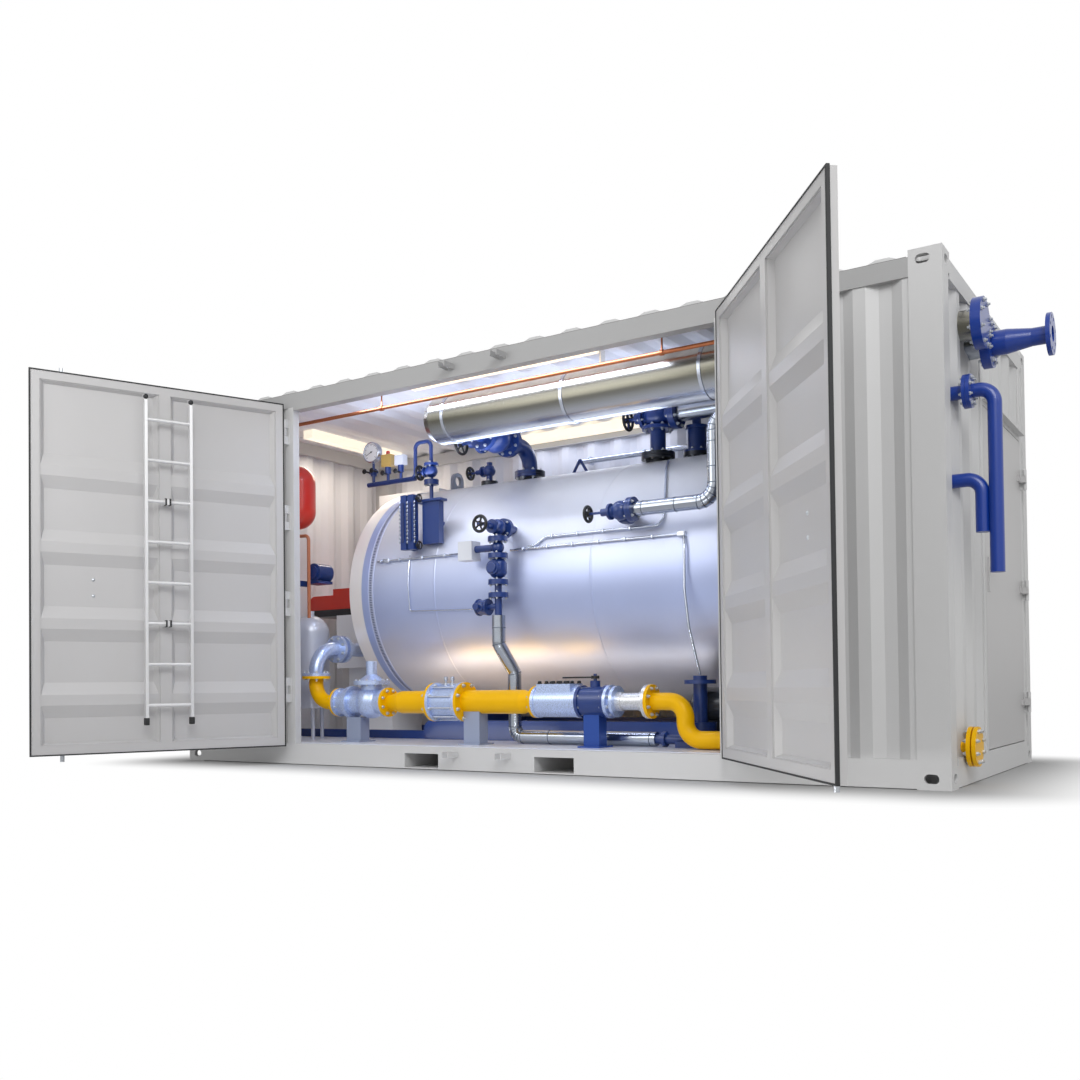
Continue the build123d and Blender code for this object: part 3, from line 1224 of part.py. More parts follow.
def gas_regulator():
    """Return the gas pressure regulator with its spring housing."""
    y = GAS_Y
    z = GAS_Z
    lid = z + 150
    return fuse([gas_disc(REG_LEFT, 1, GAS_FLANGE), gas_disc(REG_RIGHT, -1, GAS_FLANGE),
                 bar((REG_LEFT, y, z), (REG_RIGHT, y, z), 95.0),
                 disc((REG_PLATE, y, z), X_DIR, REG_R, 40.0), ball((REG_X, y, z), REG_R),
                 bar((REG_X, y, z), (REG_X, y, lid), 80.0), disc((REG_X, y, lid), Z_DIR, 140.0, 30.0),
                 cone((REG_X, y, lid + 15), (REG_X, y, lid + 62), 104.0, REG_CAP_R),
                 bar((REG_X, y, lid + 62), (REG_X, y, REG_TOP), REG_CAP_R)])


def gas_fittings():
    """Return the regulator, filter, slam-shut body and hose between the gas pipes."""
    y = GAS_Y
    z = GAS_Z
    filter_body = fuse([bar((FILTER_X[0], y, z), (FILTER_X[1], y, z), FILTER_R),
                        gas_disc(FILTER_X[0], 1, GAS_WIDE_FLANGE), gas_disc(FILTER_X[1], -1, GAS_WIDE_FLANGE)])
    shut = fuse([gas_disc(SHUT_X[0], 1, GAS_FLANGE), gas_disc(SHUT_X[1], -1, GAS_FLANGE),
                 bar((SHUT_X[0], y, z), (SHUT_X[1], y, z), SHUT_R),
                 block(SHUT_X[0] + 40, SHUT_X[1] - 40, y - 85, y + 85, z + 60, z + 122)])
    start = HOSE_X[0] + FLANGE + HOSE_GAP
    hose = fuse([gas_disc(HOSE_X[0], 1, GAS_FLANGE), gas_disc(HOSE_X[0] + HOSE_GAP, 1, GAS_FLANGE - 7),
                 bar((HOSE_X[0], y, z), (start, y, z), 78.0), bar((start, y, z), (HOSE_X[1], y, z), GAS_R),
                 bar((start, y, z), (start + 40, y, z), 64.0),
                 bar((HOSE_X[1] - 70, y, z), (HOSE_X[1] - 20, y, z), 64.0), gas_disc(HOSE_X[1], -1, GAS_FLANGE)])
    return [gas_regulator(), filter_body, shut, hose]


def gas_valve():
    """Return the gas shut-off valve with its stem."""
    y = GAS_Y
    z = GAS_Z
    x = GAS_VALVE_X
    return [fuse([gas_disc(SHUT_X[1], 1, GAS_FLANGE), gas_disc(HOSE_X[0], -1, GAS_FLANGE),
                  bar((SHUT_X[1], y, z), (HOSE_X[0], y, z), GAS_VALVE_R),
                  bar((x, y, z), (x, y, LEVER_Z - 23), 34.0),
                  bar((x, y, LEVER_Z - 23), (x, y, LEVER_Z + 23), LEVER_BORE)])]


def gas_lever():
    """Return the lever of the gas shut-off valve."""
    x = GAS_VALVE_X
    y = GAS_Y
    z = LEVER_Z
    lever = disc((x, y, z), Z_DIR, 28.0, 20.0)
    lever = lever + block(x - LEVER_LONG, x, y - 14, y + 14, z - 5, z + 5)
    return [lever - bar((x, y, z - 40), (x, y, z + 40), LEVER_BORE + SEAT)]


def gas_supports():
    """Return the three stands under the gas line."""
    stands = []
    for x, under, half in STANDS:
        plate = block(x - half - 25, x + half + 25, GAS_Y - 90, GAS_Y + 90, FLOOR_TOP, FLOOR_TOP + 10)
        web = block(x - half, x + half, GAS_Y - 50, GAS_Y + 50, FLOOR_TOP, GAS_Z - under * 0.6)
        saddle = bar((x - 2 * half, GAS_Y, GAS_Z), (x + 2 * half, GAS_Y, GAS_Z), under + SEAT)
        stands.append(plate + web - saddle)
    return stands


def feed_pump():
    """Return the upright pump and its motor on a common base."""
    x = PUMP_X
    y = PUMP_Y
    base = FLOOR_TOP + 40
    pieces = [block(x - 130, x + 330, y - 120, MOTOR_Y + 90, FLOOR_TOP, base)]
    pieces.append(bar((x, y, base - 10), (x, y, base + 125), 105.0))
    pieces.append(bar((x, y, base + 120), (x, y, PUMP_TOP + 40), 46.0))
    pieces.append(disc((x, y, PUMP_TOP), Z_DIR, 104.0, 26.0))
    pipe_y = DRAIN_Y + DRAIN_BACK
    pieces.append(bar((DRAIN_END_X, pipe_y, DRAIN_LOW_Z), (x, pipe_y, DRAIN_LOW_Z), 30.0))
    pieces.append(disc((DRAIN_END_X + 60, pipe_y, DRAIN_LOW_Z), X_DIR, 50.0, 24.0))
    pieces.append(block(x - 40, x + 150, MOTOR_Y - 60, MOTOR_Y + 60, base - 10, MOTOR_Z - 80))
    pieces.append(bar((x - 90, MOTOR_Y, MOTOR_Z), (x + 230, MOTOR_Y, MOTOR_Z), MOTOR_R))
    return [fuse(pieces)]


def dosing_vessel():
    """Return the water-treatment vessel beside the burner."""
    x = VESSEL_X
    y = VESSEL_Y
    pieces = [bar((x, y, VESSEL_BOTTOM), (x, y, VESSEL_SHOULDER), VESSEL_R)]
    pieces.append(Pos(x, y, VESSEL_SHOULDER) * Sphere(VESSEL_R))
    pieces.append(bar((x, y, VESSEL_SHOULDER), (x, y, VESSEL_SHOULDER + VESSEL_R + 35), 28.0))
    for dx, dy in ((-95, -80), (95, -80), (0, 120)):
        pieces.append(bar((x + dx, y + dy, FLOOR_TOP), (x + dx, y + dy, VESSEL_BOTTOM + 50), 16.0))
    return [fuse(pieces)]


def dosing_pump():
    """Return the dosing pump on a wall bracket beside the burner."""
    shelf = DOSE_Z - DOSE_R
    y0 = DOSE_Y - 80
    y1 = DOSE_Y + 80
    return [fuse([block(DOSE_X - 110, DOSE_X + 60, y0, y1, shelf - 18, shelf + 5),
                  bar((DOSE_X, y0, DOSE_Z), (DOSE_X, y1, DOSE_Z), DOSE_R),
                  bar((DOSE_X, y0 - 16, DOSE_Z), (DOSE_X, y0, DOSE_Z), DOSE_R - 22),
                  block(DOSE_X - 110, DOSE_X - 70, FRONT + WALL_INSET + WALL_DEPTH, y0 + 20, shelf - 41, shelf + 5)])]


def expansion_vessel():
    """Return the expansion vessel hung beside the burner, with its pipe to the treatment vessel."""
    x = TANK_X
    y = TANK_Y
    pieces = [bar((x, y, TANK_LOW), (x, y, TANK_HIGH), TANK_R)]
    for z in (TANK_LOW, TANK_HIGH):
        pieces.append(Pos(x, y, z) * Sphere(TANK_R))
    pieces.append(pipe(((x, y, TANK_LOW - TANK_R + 20), (x, y, TANK_PIPE_Z), (TANK_PIPE_X, y, TANK_PIPE_Z),
                        (TANK_PIPE_X, y, VESSEL_SHOULDER + 60)), 14.0, 40.0))
    pieces.append(block(x + 32, x + 92, FRONT + WALL_INSET + WALL_DEPTH, y - 60, TANK_LOW + 90, TANK_LOW + 140))
    return [fuse(pieces) - ball((VESSEL_X, VESSEL_Y, VESSEL_SHOULDER), VESSEL_R + SEAT)]


def control_cabinet():
    """Return the control cabinet in the rear corner of the burner end."""
    return [block(CABINET_LEFT, CABINET_RIGHT, CABINET_BACK - CABINET_DEPTH, CABINET_BACK, FLOOR_TOP, CABINET_TOP)]


def luminaires():
    """Return the three ceiling luminaires."""
    return [block(x0, x1, y0, y1, TOP_RAIL_TOP - tall, TOP_RAIL_TOP) for x0, x1, y0, y1, tall in LAMPS]


def ceiling_pipe():
    """Return the copper pipe under the ceiling with its hangers."""
    y = COPPER_Y
    z = COPPER_Z
    pieces = [bar((LEFT + 129, y, z), (RIGHT - 129, y, z), COPPER_R)]
    for x in HANGER_X:
        pieces.append(bar((x, y, z), (x, y, TOP_RAIL_TOP), 6.0))
        pieces.append(disc((x, y, z), X_DIR, 20.0, 24.0))
    return [fuse(pieces)]


NODES = {
    "corner_castings": corner_castings,
    "corner_posts": corner_posts,
    "bottom_rails": bottom_rails,
    "base_crossmembers": base_crossmembers,
    "floor_plate": floor_plate,
    "top_rails": top_rails,
    "roof": roof,
    "back_wall": back_wall,
    "left_end_wall": left_end_wall,
    "front_wall_panels": front_wall_panels,
    "right_end_wall": right_end_wall,
    "end_door_posts": end_door_posts,
    "door_jambs": door_jambs,
    "door_hinge_brackets": door_hinge_brackets,
    "left_door_leaf": lambda: [swing_left(door_leaf())],
    "left_lock_rod": lambda: [swing_left(lock_rod())],
    "left_door_ladder": lambda: [swing_left(ladder())],
    "right_door_leaf": lambda: [swing_right(door_leaf())],
    "right_lock_rod": lambda: [swing_right(lock_rod())],
    "end_door_leaf": end_door_leaf,
    "boiler_shell": boiler_shell,
    "boiler_front": boiler_front,
    "boiler_rear": boiler_rear,
    "boiler_skid": boiler_skid,
    "burner_housing": burner_housing,
    "burner_cover": burner_cover,
    "gas_riser": gas_riser,
    "steam_header": steam_header,
    "steam_outlets": steam_outlets,
    "vent_pipes": vent_pipes,
    "main_steam_valve": main_steam_valve,
    "main_steam_handwheel": main_steam_handwheel,
    "boiler_top_valves": boiler_top_valves,
    "lagged_lines": lagged_lines,
    "feed_valve": feed_valve,
    "feed_handwheel": feed_handwheel,
    "desalting_valves": desalting_valves,
    "desalting_handwheel": desalting_handwheel,
    "level_gauge": level_gauge,
    "instrument_manifold": instrument_manifold,
    "gas_line": gas_line,
    "gas_fittings": gas_fittings,
    "gas_valve": gas_valve,
    "gas_lever": gas_lever,
    "gas_supports": gas_supports,
    "feed_pump": feed_pump,
    "dosing_vessel": dosing_vessel,
    "dosing_pump": dosing_pump,
    "expansion_vessel": expansion_vessel,
    "control_cabinet": control_cabinet,
    "luminaires": luminaires,
    "ceiling_pipe": ceiling_pipe,
}

os.makedirs("parts", exist_ok=True)
for name, make in NODES.items():
    solids = []
    for part in make():
        solids.extend(part.solids())
    shape = solids[0] if len(solids) == 1 else Compound(children=solids)
    export_step(shape, f"parts/{name}.step")
    print(name, len(solids))
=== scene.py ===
"""Looks of a containerised steam boiler plant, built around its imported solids.

Lengths in the classes are millimetres in the row frame; meshes are metres.
"""
import json
import logging
import math
from dataclasses import dataclass
from enum import Enum
from typing import Optional, Sequence, Union

import bmesh
import bpy
import numpy as np
from mathutils import Matrix, Vector

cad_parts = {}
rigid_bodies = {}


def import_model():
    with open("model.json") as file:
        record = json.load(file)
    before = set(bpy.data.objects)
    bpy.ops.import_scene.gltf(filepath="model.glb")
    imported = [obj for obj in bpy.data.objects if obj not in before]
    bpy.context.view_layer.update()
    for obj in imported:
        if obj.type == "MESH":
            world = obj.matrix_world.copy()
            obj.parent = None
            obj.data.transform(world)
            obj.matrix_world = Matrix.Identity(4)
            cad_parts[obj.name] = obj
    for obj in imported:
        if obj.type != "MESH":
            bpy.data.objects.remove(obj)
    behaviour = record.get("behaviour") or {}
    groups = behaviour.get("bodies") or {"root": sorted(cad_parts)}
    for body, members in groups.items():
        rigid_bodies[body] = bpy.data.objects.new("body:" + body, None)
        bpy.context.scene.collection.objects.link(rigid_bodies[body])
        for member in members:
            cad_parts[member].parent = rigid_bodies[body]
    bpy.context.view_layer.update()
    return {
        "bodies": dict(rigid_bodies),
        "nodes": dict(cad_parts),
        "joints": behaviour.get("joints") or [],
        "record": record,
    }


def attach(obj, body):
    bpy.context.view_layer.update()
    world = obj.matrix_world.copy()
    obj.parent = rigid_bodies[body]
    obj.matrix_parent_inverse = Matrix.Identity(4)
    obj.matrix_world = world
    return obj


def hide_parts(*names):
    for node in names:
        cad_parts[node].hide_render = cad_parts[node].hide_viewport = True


LOG = logging.getLogger("boiler_plant")
MM = 0.001
CONTAINER_BODY = "container"
# Relief depth as a share of its size, and how far a face has to turn inwards to take the inner colour
RELIEF_DEPTH = 0.2
FACING_LIMIT = 0.05
# The rolled grain runs round the drum, so its pattern is drawn out in y and z
GRAIN_STRETCH = (1.0, 0.06, 0.06)
PURE_WHITE = "#FFFFFF"

Array = np.ndarray
Tree = bpy.types.NodeTree
Socket = bpy.types.NodeSocket
Pair = tuple[float, float]
Triple = tuple[float, float, float]
Bound = tuple[Optional[float], Optional[float], Optional[float]]
Colour = Union[Socket, tuple[float, float, float, float]]

X_AXIS = (1.0, 0.0, 0.0)
Y_AXIS = (0.0, 1.0, 0.0)
Z_AXIS = (0.0, 0.0, 1.0)
TO_FRONT = (0.0, -1.0, 0.0)
TO_LEFT = (-1.0, 0.0, 0.0)
DOWN = (0.0, 0.0, -1.0)

# Places that several sub-assemblies share with the solids
RIGHT = 3029.0
ROOF_INNER = 2851.0
DOOR_MID = -37.0
HINGE_HALF = 1814.0
HINGE_Y = -1259.0
LEAF_BOTTOM = 147.0
LEAF_TOP = 2765.0
BOILER_Y = 220.0
BOILER_Z = 1355.0
BOILER_R = 900.0
BOILER_TOP = BOILER_Z + BOILER_R
HEADER_Y = -774.0
HEADER_Z = 2571.0
GAS_Y = -890.0
GAS_Z = 470.0
FEED = (836.0, -790.0, 1748.0)
DRAIN = (-170.0, -800.0, 1726.0)
MAIN = (-565.0, -255.0, 2520.0)
SECOND = (690.0, 60.0, 2580.0)
VENT = (-974.0, 220.0, 2392.0)
SYPHON = (-1180.0, -300.0, 2330.0)
LEFT_OPEN = 112.0
RIGHT_OPEN = 129.0


def off(place: Triple, x: float = 0.0, y: float = 0.0, z: float = 0.0) -> Triple:
    """Return a place moved by x, y and z."""
    return (place[0] + x, place[1] + y, place[2] + z)


def linear(hex_colour: str) -> tuple[float, float, float, float]:
    """Turn an sRGB hex colour into linear RGBA.

    Args:
        hex_colour: six hex digits, with or without a leading hash.

    Returns:
        Linear red, green, blue and an alpha of 1.
    """
    text = hex_colour.lstrip("#")
    srgb = np.array([int(text[i:i + 2], 16) for i in (0, 2, 4)]) / 255.0
    value = np.where(srgb <= 0.04045, srgb / 12.92, ((srgb + 0.055) / 1.055) ** 2.4)
    return (float(value[0]), float(value[1]), float(value[2]), 1.0)


def add_node(tree: Tree, kind: str, settings: Optional[dict] = None,
             inputs: Optional[dict] = None) -> bpy.types.Node:
    """Add one shader node with its settings, values and links.

    Args:
        tree: node tree of the material or world.
        kind: Blender's name of the node type.
        settings: attributes to set on the node.
        inputs: socket name or index to a value, or to the socket that feeds it.

    Returns:
        The new node.
    """
    node = tree.nodes.new(kind)
    for key, value in (settings or {}).items():
        setattr(node, key, value)
    for key, value in (inputs or {}).items():
        if isinstance(value, Socket):
            tree.links.new(value, node.inputs[key])
        else:
            node.inputs[key].default_value = value
    return node


class Side(Enum):
    """Direction from a container sheet towards the inside."""

    FRONT = Y_AXIS
    BACK = TO_FRONT
    LEFT = X_AXIS
    RIGHT = TO_LEFT
    ROOF = DOWN


@dataclass(frozen=True)
class Zone:
    """A box within a piece, in millimetres, that takes another colour, its own paint or a painted shade; None
    leaves a side open.
    """

    colour: str
    low: Bound = (None, None, None)
    high: Bound = (None, None, None)

    def paint(self, tree: Tree, place: Socket, under: Socket) -> Socket:
        """Lay the zone's colour over another colour.

        Args:
            tree: the material's node tree.
            place: Object coordinates.
            under: the colour outside the zone.

        Returns:
            The colour socket with the zone in it.
        """
        split = add_node(tree, "ShaderNodeSeparateXYZ", None, {0: place})
        share: Optional[Socket] = None
        for operation, limits in (("GREATER_THAN", self.low), ("LESS_THAN", self.high)):
            for axis, limit in enumerate(limits):
                if limit is None:
                    continue
                test = add_node(tree, "ShaderNodeMath", {"operation": operation},
                                {0: split.outputs[axis], 1: limit * MM})
                if share is not None:
                    test = add_node(tree, "ShaderNodeMath", {"operation": "MULTIPLY"},
                                    {0: share, 1: test.outputs[0]})
                share = test.outputs[0]
        return add_node(tree, "ShaderNodeMix", {"data_type": "RGBA"},
                        {0: share, 6: under, 7: linear(self.colour)}).outputs[2]


@dataclass(frozen=True)
class Finish:
    """A finish: a colour with a slow tone drift, a fine surface relief and a varied gloss."""

    name: str
    colour: str
    drift: float = 0.03
    drift_mm: float = 700.0
    relief_mm: float = 9.0
    relief: float = 0.04
    roughness: float = 0.4
    rough_swing: float = 0.05
    metallic: float = 0.0
    coat: float = 0.0
    specular: float = 0.5
    inner_colour: str = ""
    inside: Optional[Side] = None
    glow: float = 0.0
    zones: tuple[Zone, ...] = ()

    def material(self) -> bpy.types.Material:
        """Return the finish's material, made once."""
        made = bpy.data.materials.get(self.name)
        return made if made else self.build()

    def tones(self, tree: Tree, place: Socket) -> Socket:
        """Return a slightly darker and a slightly lighter tone, mixed by slow noise.

        Args:
            tree: the material's node tree.
            place: Object coordinates.

        Returns:
            The colour socket.
        """
        base = linear(self.colour)[:3]
        dark, light = (tuple(min(1.0, c * (1.0 + way * self.drift)) for c in base) + (1.0,)
                       for way in (-1, 1))
        noise = add_node(tree, "ShaderNodeTexNoise", None,
                         {"Vector": place, "Scale": 1000.0 / self.drift_mm, "Detail": 3.0})
        return add_node(tree, "ShaderNodeMix", {"data_type": "RGBA"},
                        {0: noise.outputs["Fac"], 6: dark, 7: light}).outputs[2]

    def base_colour(self, tree: Tree, place: Socket) -> Socket:
        """Lay the inner colour and the zones over the tones.

        Args:
            tree: the material's node tree.
            place: Object coordinates.

        Returns:
            The colour socket.
        """
        colour = self.tones(tree, place)
        if self.inside:
            normal = add_node(tree, "ShaderNodeNewGeometry").outputs["Normal"]
            facing = add_node(tree, "ShaderNodeVectorMath", {"operation": "DOT_PRODUCT"},
                              {0: normal, 1: self.inside.value})
            inner = add_node(tree, "ShaderNodeMath", {"operation": "GREATER_THAN"},
                             {0: facing.outputs["Value"], 1: FACING_LIMIT})
            colour = add_node(tree, "ShaderNodeMix", {"data_type": "RGBA"},
                              {0: inner.outputs[0], 6: colour, 7: linear(self.inner_colour)}).outputs[2]
        for zone in self.zones:
            colour = zone.paint(tree, place, colour)
        return colour

    def relief_height(self, tree: Tree, place: Socket) -> Socket:
        """Return fine noise as the surface relief."""
        return add_node(tree, "ShaderNodeTexNoise", None,
                        {"Vector": place, "Scale": 1000.0 / self.relief_mm, "Detail": 2.0}).outputs["Fac"]

    def build(self) -> bpy.types.Material:
        """Make the material's nodes.

        Returns:
            The new material.
        """
        material = bpy.data.materials.new(self.name)
        material.use_nodes = True
        tree = material.node_tree
        shader = tree.nodes["Principled BSDF"]
        place = add_node(tree, "ShaderNodeTexCoord").outputs["Object"]
        height = self.relief_height(tree, place)
        depth = self.relief_mm * MM * RELIEF_DEPTH
        bump = add_node(tree, "ShaderNodeBump", None,
                        {"Height": height, "Strength": self.relief, "Distance": depth})
        gloss = add_node(tree, "ShaderNodeMapRange", None,
                         {"Value": height, "To Min": self.roughness - self.rough_swing,
                          "To Max": self.roughness + self.rough_swing})
        for name, socket in (("Base Color", self.base_colour(tree, place)),
                             ("Normal", bump.outputs["Normal"]), ("Roughness", gloss.outputs["Result"])):
            tree.links.new(socket, shader.inputs[name])
        for name, value in (("Metallic", self.metallic), ("Coat Weight", self.coat),
                            ("Specular IOR Level", self.specular)):
            shader.inputs[name].default_value = value
        if self.glow:
            shader.inputs["Emission Color"].default_value = linear(self.colour)
            shader.inputs["Emission Strength"].default_value = self.glow
        return material


@dataclass(frozen=True)
class SpangledFinish(Finish):
    """Hot-dip galvanised steel: zinc crystals show as angular patches of slightly different grey."""

    spangle_mm: float = 14.0

    def relief_height(self, tree: Tree, place: Socket) -> Socket:
        """Return cell noise as the crystals.

        Args:
            tree: the material's node tree.
            place: Object coordinates.

        Returns:
            The height socket.
        """
        cells = add_node(tree, "ShaderNodeTexVoronoi", None,
                         {"Vector": place, "Scale": 1000.0 / self.spangle_mm})
        return cells.outputs["Distance"]


@dataclass(frozen=True)
class TreadFinish(Finish):
    """Rolled tread plate: short raised bars in crossed directions."""

    bar_mm: float = 30.0

    def relief_height(self, tree: Tree, place: Socket) -> Socket:
        """Return squares turned by 45 degrees as the raised bars.

        Args:
            tree: the material's node tree.
            place: Object coordinates.

        Returns:
            The height socket.
        """
        turned = add_node(tree, "ShaderNodeMapping", None,
                          {"Vector": place, "Rotation": (0.0, 0.0, math.radians(45.0))})
        checker = add_node(tree, "ShaderNodeTexChecker", None,
                           {"Vector": turned.outputs[0], "Scale": 1000.0 / self.bar_mm})
        return checker.outputs["Fac"]


@dataclass(frozen=True)
class ReflectionPaintedCladding(Finish):
    """Rolled sheet round a drum with painted reflection: its tone goes with height, standing in for the
    floor, daylight and ceiling it mirrors.
    """

    low_colour: str = "#A59C9C"
    high_colour: str = "#CDD0D6"
    low_mm: float = 620.0
    waist_mm: float = 1180.0
    high_mm: float = 2150.0
    grain_mm: float = 5.0

    def tones(self, tree: Tree, place: Socket) -> Socket:
        """Blend three tones by height, a painted reflection of floor, daylight and ceiling, then darken and
        lighten them by slow noise.

        Args:
            tree: the material's node tree.
            place: Object coordinates.

        Returns:
            The colour socket.
        """
        height = add_node(tree, "ShaderNodeSeparateXYZ", None, {0: place}).outputs[2]
        colour: Colour = linear(self.low_colour)
        for start, end, tone in ((self.low_mm, self.waist_mm, self.colour),
                                 (self.waist_mm, self.high_mm, self.high_colour)):
            share = add_node(tree, "ShaderNodeMapRange", {"interpolation_type": "SMOOTHSTEP"},
                             {"Value": height, "From Min": start * MM, "From Max": end * MM})
            colour = add_node(tree, "ShaderNodeMix", {"data_type": "RGBA"},
                              {0: share.outputs["Result"], 6: colour, 7: linear(tone)}).outputs[2]
        noise = add_node(tree, "ShaderNodeTexNoise", None,
                         {"Vector": place, "Scale": 1000.0 / self.drift_mm, "Detail": 4.0})
        shade = add_node(tree, "ShaderNodeMapRange", None,
                         {"Value": noise.outputs["Fac"], "To Min": 1.0 - self.drift,
                          "To Max": 1.0 + self.drift})
        return add_node(tree, "ShaderNodeMix", {"data_type": "RGBA", "blend_type": "MULTIPLY"},
                        {0: 1.0, 6: colour, 7: shade.outputs["Result"]}).outputs[2]

    def relief_height(self, tree: Tree, place: Socket) -> Socket:
        """Return noise drawn out round the drum as the rolled grain.

        Args:
            tree: the material's node tree.
            place: Object coordinates.

        Returns:
            The height socket.
        """
        drawn = add_node(tree, "ShaderNodeMapping", None, {"Vector": place, "Scale": GRAIN_STRETCH})
        return add_node(tree, "ShaderNodeTexNoise", None,
                        {"Vector": drawn.outputs[0], "Scale": 1000.0 / self.grain_mm,
                         "Detail": 3.0}).outputs["Fac"]


# Two-pack paint on blasted steel: even light grey with a faint spray texture
PAINT = "#CACACA"
CONTAINER = Finish("container_two_pack_paint", PAINT, roughness=0.45, relief_mm=7.0)
# Painted shade: the front top rail is painted a darker grey than the sheets, as if in the shade of the open
# leaves
TOP_RAIL = Finish("top_rail_paint_and_painted_shade", PAINT, roughness=0.45, relief_mm=7.0,
                  zones=(Zone("#A6A6A6", high=(None, -1100.0, None)),))
SHEETS = {side: Finish(f"container_sheet_{side.name.lower()}", PAINT, roughness=0.45, relief_mm=7.0,
                       inner_colour="#F1F2F7" if side is Side.ROOF else "#DCDDE3", inside=side)
          for side in Side}
# Painted shade: the leaves take a darker copy of the container's grey, standing in for their dimmer light
DOOR = Finish("door_paint_with_painted_shade", "#BBBABA", roughness=0.42, relief_mm=7.0)
# Bright aluminium cladding: a satin sheet with a rolled grain; its blue is painted reflection of the daylight
# it faces
# The shell: a blue waist between a pale foot and a near-white top, painted reflection of the floor and the
# ceiling lamps
SHELL = ReflectionPaintedCladding("boiler_aluminium_cladding", "#B3BFE4", low_colour="#E6E2E2", high_colour="#EEEEED",
                       drift=0.1, relief=0.12, relief_mm=5.0, roughness=0.4, rough_swing=0.09, metallic=0.6,
                       zones=(Zone("#AEBDE8", low=(-1597.0, None, None), high=(-1528.0, None, None)),
                              Zone("#C9D1E8", low=(-1528.0, None, None), high=(-1477.0, None, None))))
# The header: a pale underside, an olive-grey middle band and a near-white top, painted reflection with a
# painted highlight
HEADER = ReflectionPaintedCladding("header_aluminium_cladding", "#7C7A6E", low_colour="#C5CAD4", high_colour="#EFECE4",
                        low_mm=2400.0, waist_mm=2540.0, high_mm=2740.0, drift=0.03, relief=0.08,
                        relief_mm=5.0, roughness=0.25, rough_swing=0.05, metallic=0.95)
LAGGING = Finish("pipe_aluminium_cladding", "#ABB1BB", drift=0.04, relief_mm=26.0, relief=0.08,
                 roughness=0.2, rough_swing=0.06, metallic=1.0)
# Galvanised steel: dull silver with zinc crystals
ZINC = SpangledFinish("galvanised_steel", "#BFC3C8", roughness=0.38, rough_swing=0.1, metallic=0.85,
                      relief=0.05)
# Drawn aluminium: pale and silky
LADDER = Finish("drawn_aluminium_ladder", "#DCDCDD", roughness=0.32, metallic=0.45, relief_mm=20.0)
STANDS = SpangledFinish("galvanised_stands", "#9AA4BC", roughness=0.42, metallic=0.4, relief=0.05,
                        zones=(Zone("#2A4C9A", low=(560.0, None, None)),))
# Tread plate: raised bars that catch the light
TREAD = TreadFinish("rolled_tread_plate", "#DDE1EC", roughness=0.34, metallic=0.2, relief=0.5, relief_mm=8.0)
# Brushed sheet at the boiler's front: warm silver
RING = Finish("boiler_front_sheet", "#ECE8E6", roughness=0.34, metallic=0.3)
# Stove enamel: clean and slightly glossy
WHITE = Finish("white_stove_enamel", "#E8EAEE", roughness=0.3)
TANK = Finish("grey_tank_enamel", "#BFC4D2", roughness=0.32, metallic=0.2)
# Machine enamel: deep blue gloss over the cast grain of the valves
BLUE_PAINT = "#1C3674"
GLOSSY = {"roughness": 0.3, "coat": 0.15, "relief_mm": 5.0, "relief": 0.06}
BLUE = Finish("blue_machine_enamel", BLUE_PAINT, **GLOSSY)
OUTSIDE_BLUE = Finish("blue_outdoor_enamel", "#0C3690", **GLOSSY)
BARE_FLANGE = "#20242C"
MAIN_BLUE = Finish("main_valve_enamel", BLUE_PAINT, **GLOSSY,
                   zones=(Zone(BARE_FLANGE, low=(None, 150.0, None), high=(None, None, BOILER_TOP + 80.0)),))
TOP_BLUE = Finish("top_valve_enamel", BLUE_PAINT, **GLOSSY,
                  zones=(Zone(BARE_FLANGE, high=(None, None, BOILER_TOP + 46.0)),
                         Zone("#858C99", high=(-1290.0, None, None)),
                         Zone("#858C99", low=(1450.0, None, None))))
DRAIN_BLUE = Finish("desalting_valve_enamel", BLUE_PAINT, **GLOSSY,
                    zones=(Zone("#D6D9E0", high=(-364.0, None, None)),))
MANIFOLD_BLUE = Finish("manifold_enamel", BLUE_PAINT, **GLOSSY,
                       zones=(Zone("#C3C7CF", low=(-1890.0, None, 2470.0), high=(-1710.0, None, None)),
                              Zone("#C2A15A", low=(-1692.0, None, 2419.0), high=(-1588.0, None, None)),
                              Zone("#D8DADF", low=(-1547.0, None, 2419.0), high=(-1453.0, None, None))))
PUMP_BLUE = Finish("pump_enamel", BLUE_PAINT, **GLOSSY,
                   zones=(Zone("#3A3E46", low=(None, -592.0, 240.0)),))
# Pipe enamel: saturated yellow with a low sheen
YELLOW = Finish("yellow_gas_enamel", "#EDB500", roughness=0.34, specular=0.18, relief_mm=6.0, relief=0.05)
# Red gloss enamel over black and copper lower ends
RED = Finish("red_hood_enamel", "#C4301F", roughness=0.3, coat=0.3,
             zones=(Zone("#1B1C20", high=(None, None, 1292.0)),))
RED_TANK = Finish("red_tank_enamel", "#CF2E1F", roughness=0.3, coat=0.3,
                  zones=(Zone("#B9714F", high=(None, None, 1912.0)),))
# Silver paint on castings: bluish metal over a sand-cast grain
CASTING = Finish("silver_painted_casting", "#B8C8EA", roughness=0.28, metallic=0.55, relief_mm=4.0,
                 relief=0.12, zones=(Zone("#D2D3D6", low=(857.0, None, None)),))
# Wheel enamel: black with a dull sheen
BLACK = Finish("black_enamel", "#0C0D10", roughness=0.45)
# Drawn copper: orange metal
COPPER = Finish("drawn_copper", "#BF7752", roughness=0.34, metallic=0.9)
# Frosted plastic lit from within: a warm glow
LAMP = Finish("frosted_lamp_cover", "#FFF3DC", roughness=0.5, glow=0.75)
# Extruded rubber: dull near-black that marks each leaf's edge
RUBBER = Finish("door_rubber", "#1C1D1F", roughness=0.62, relief=0.1)
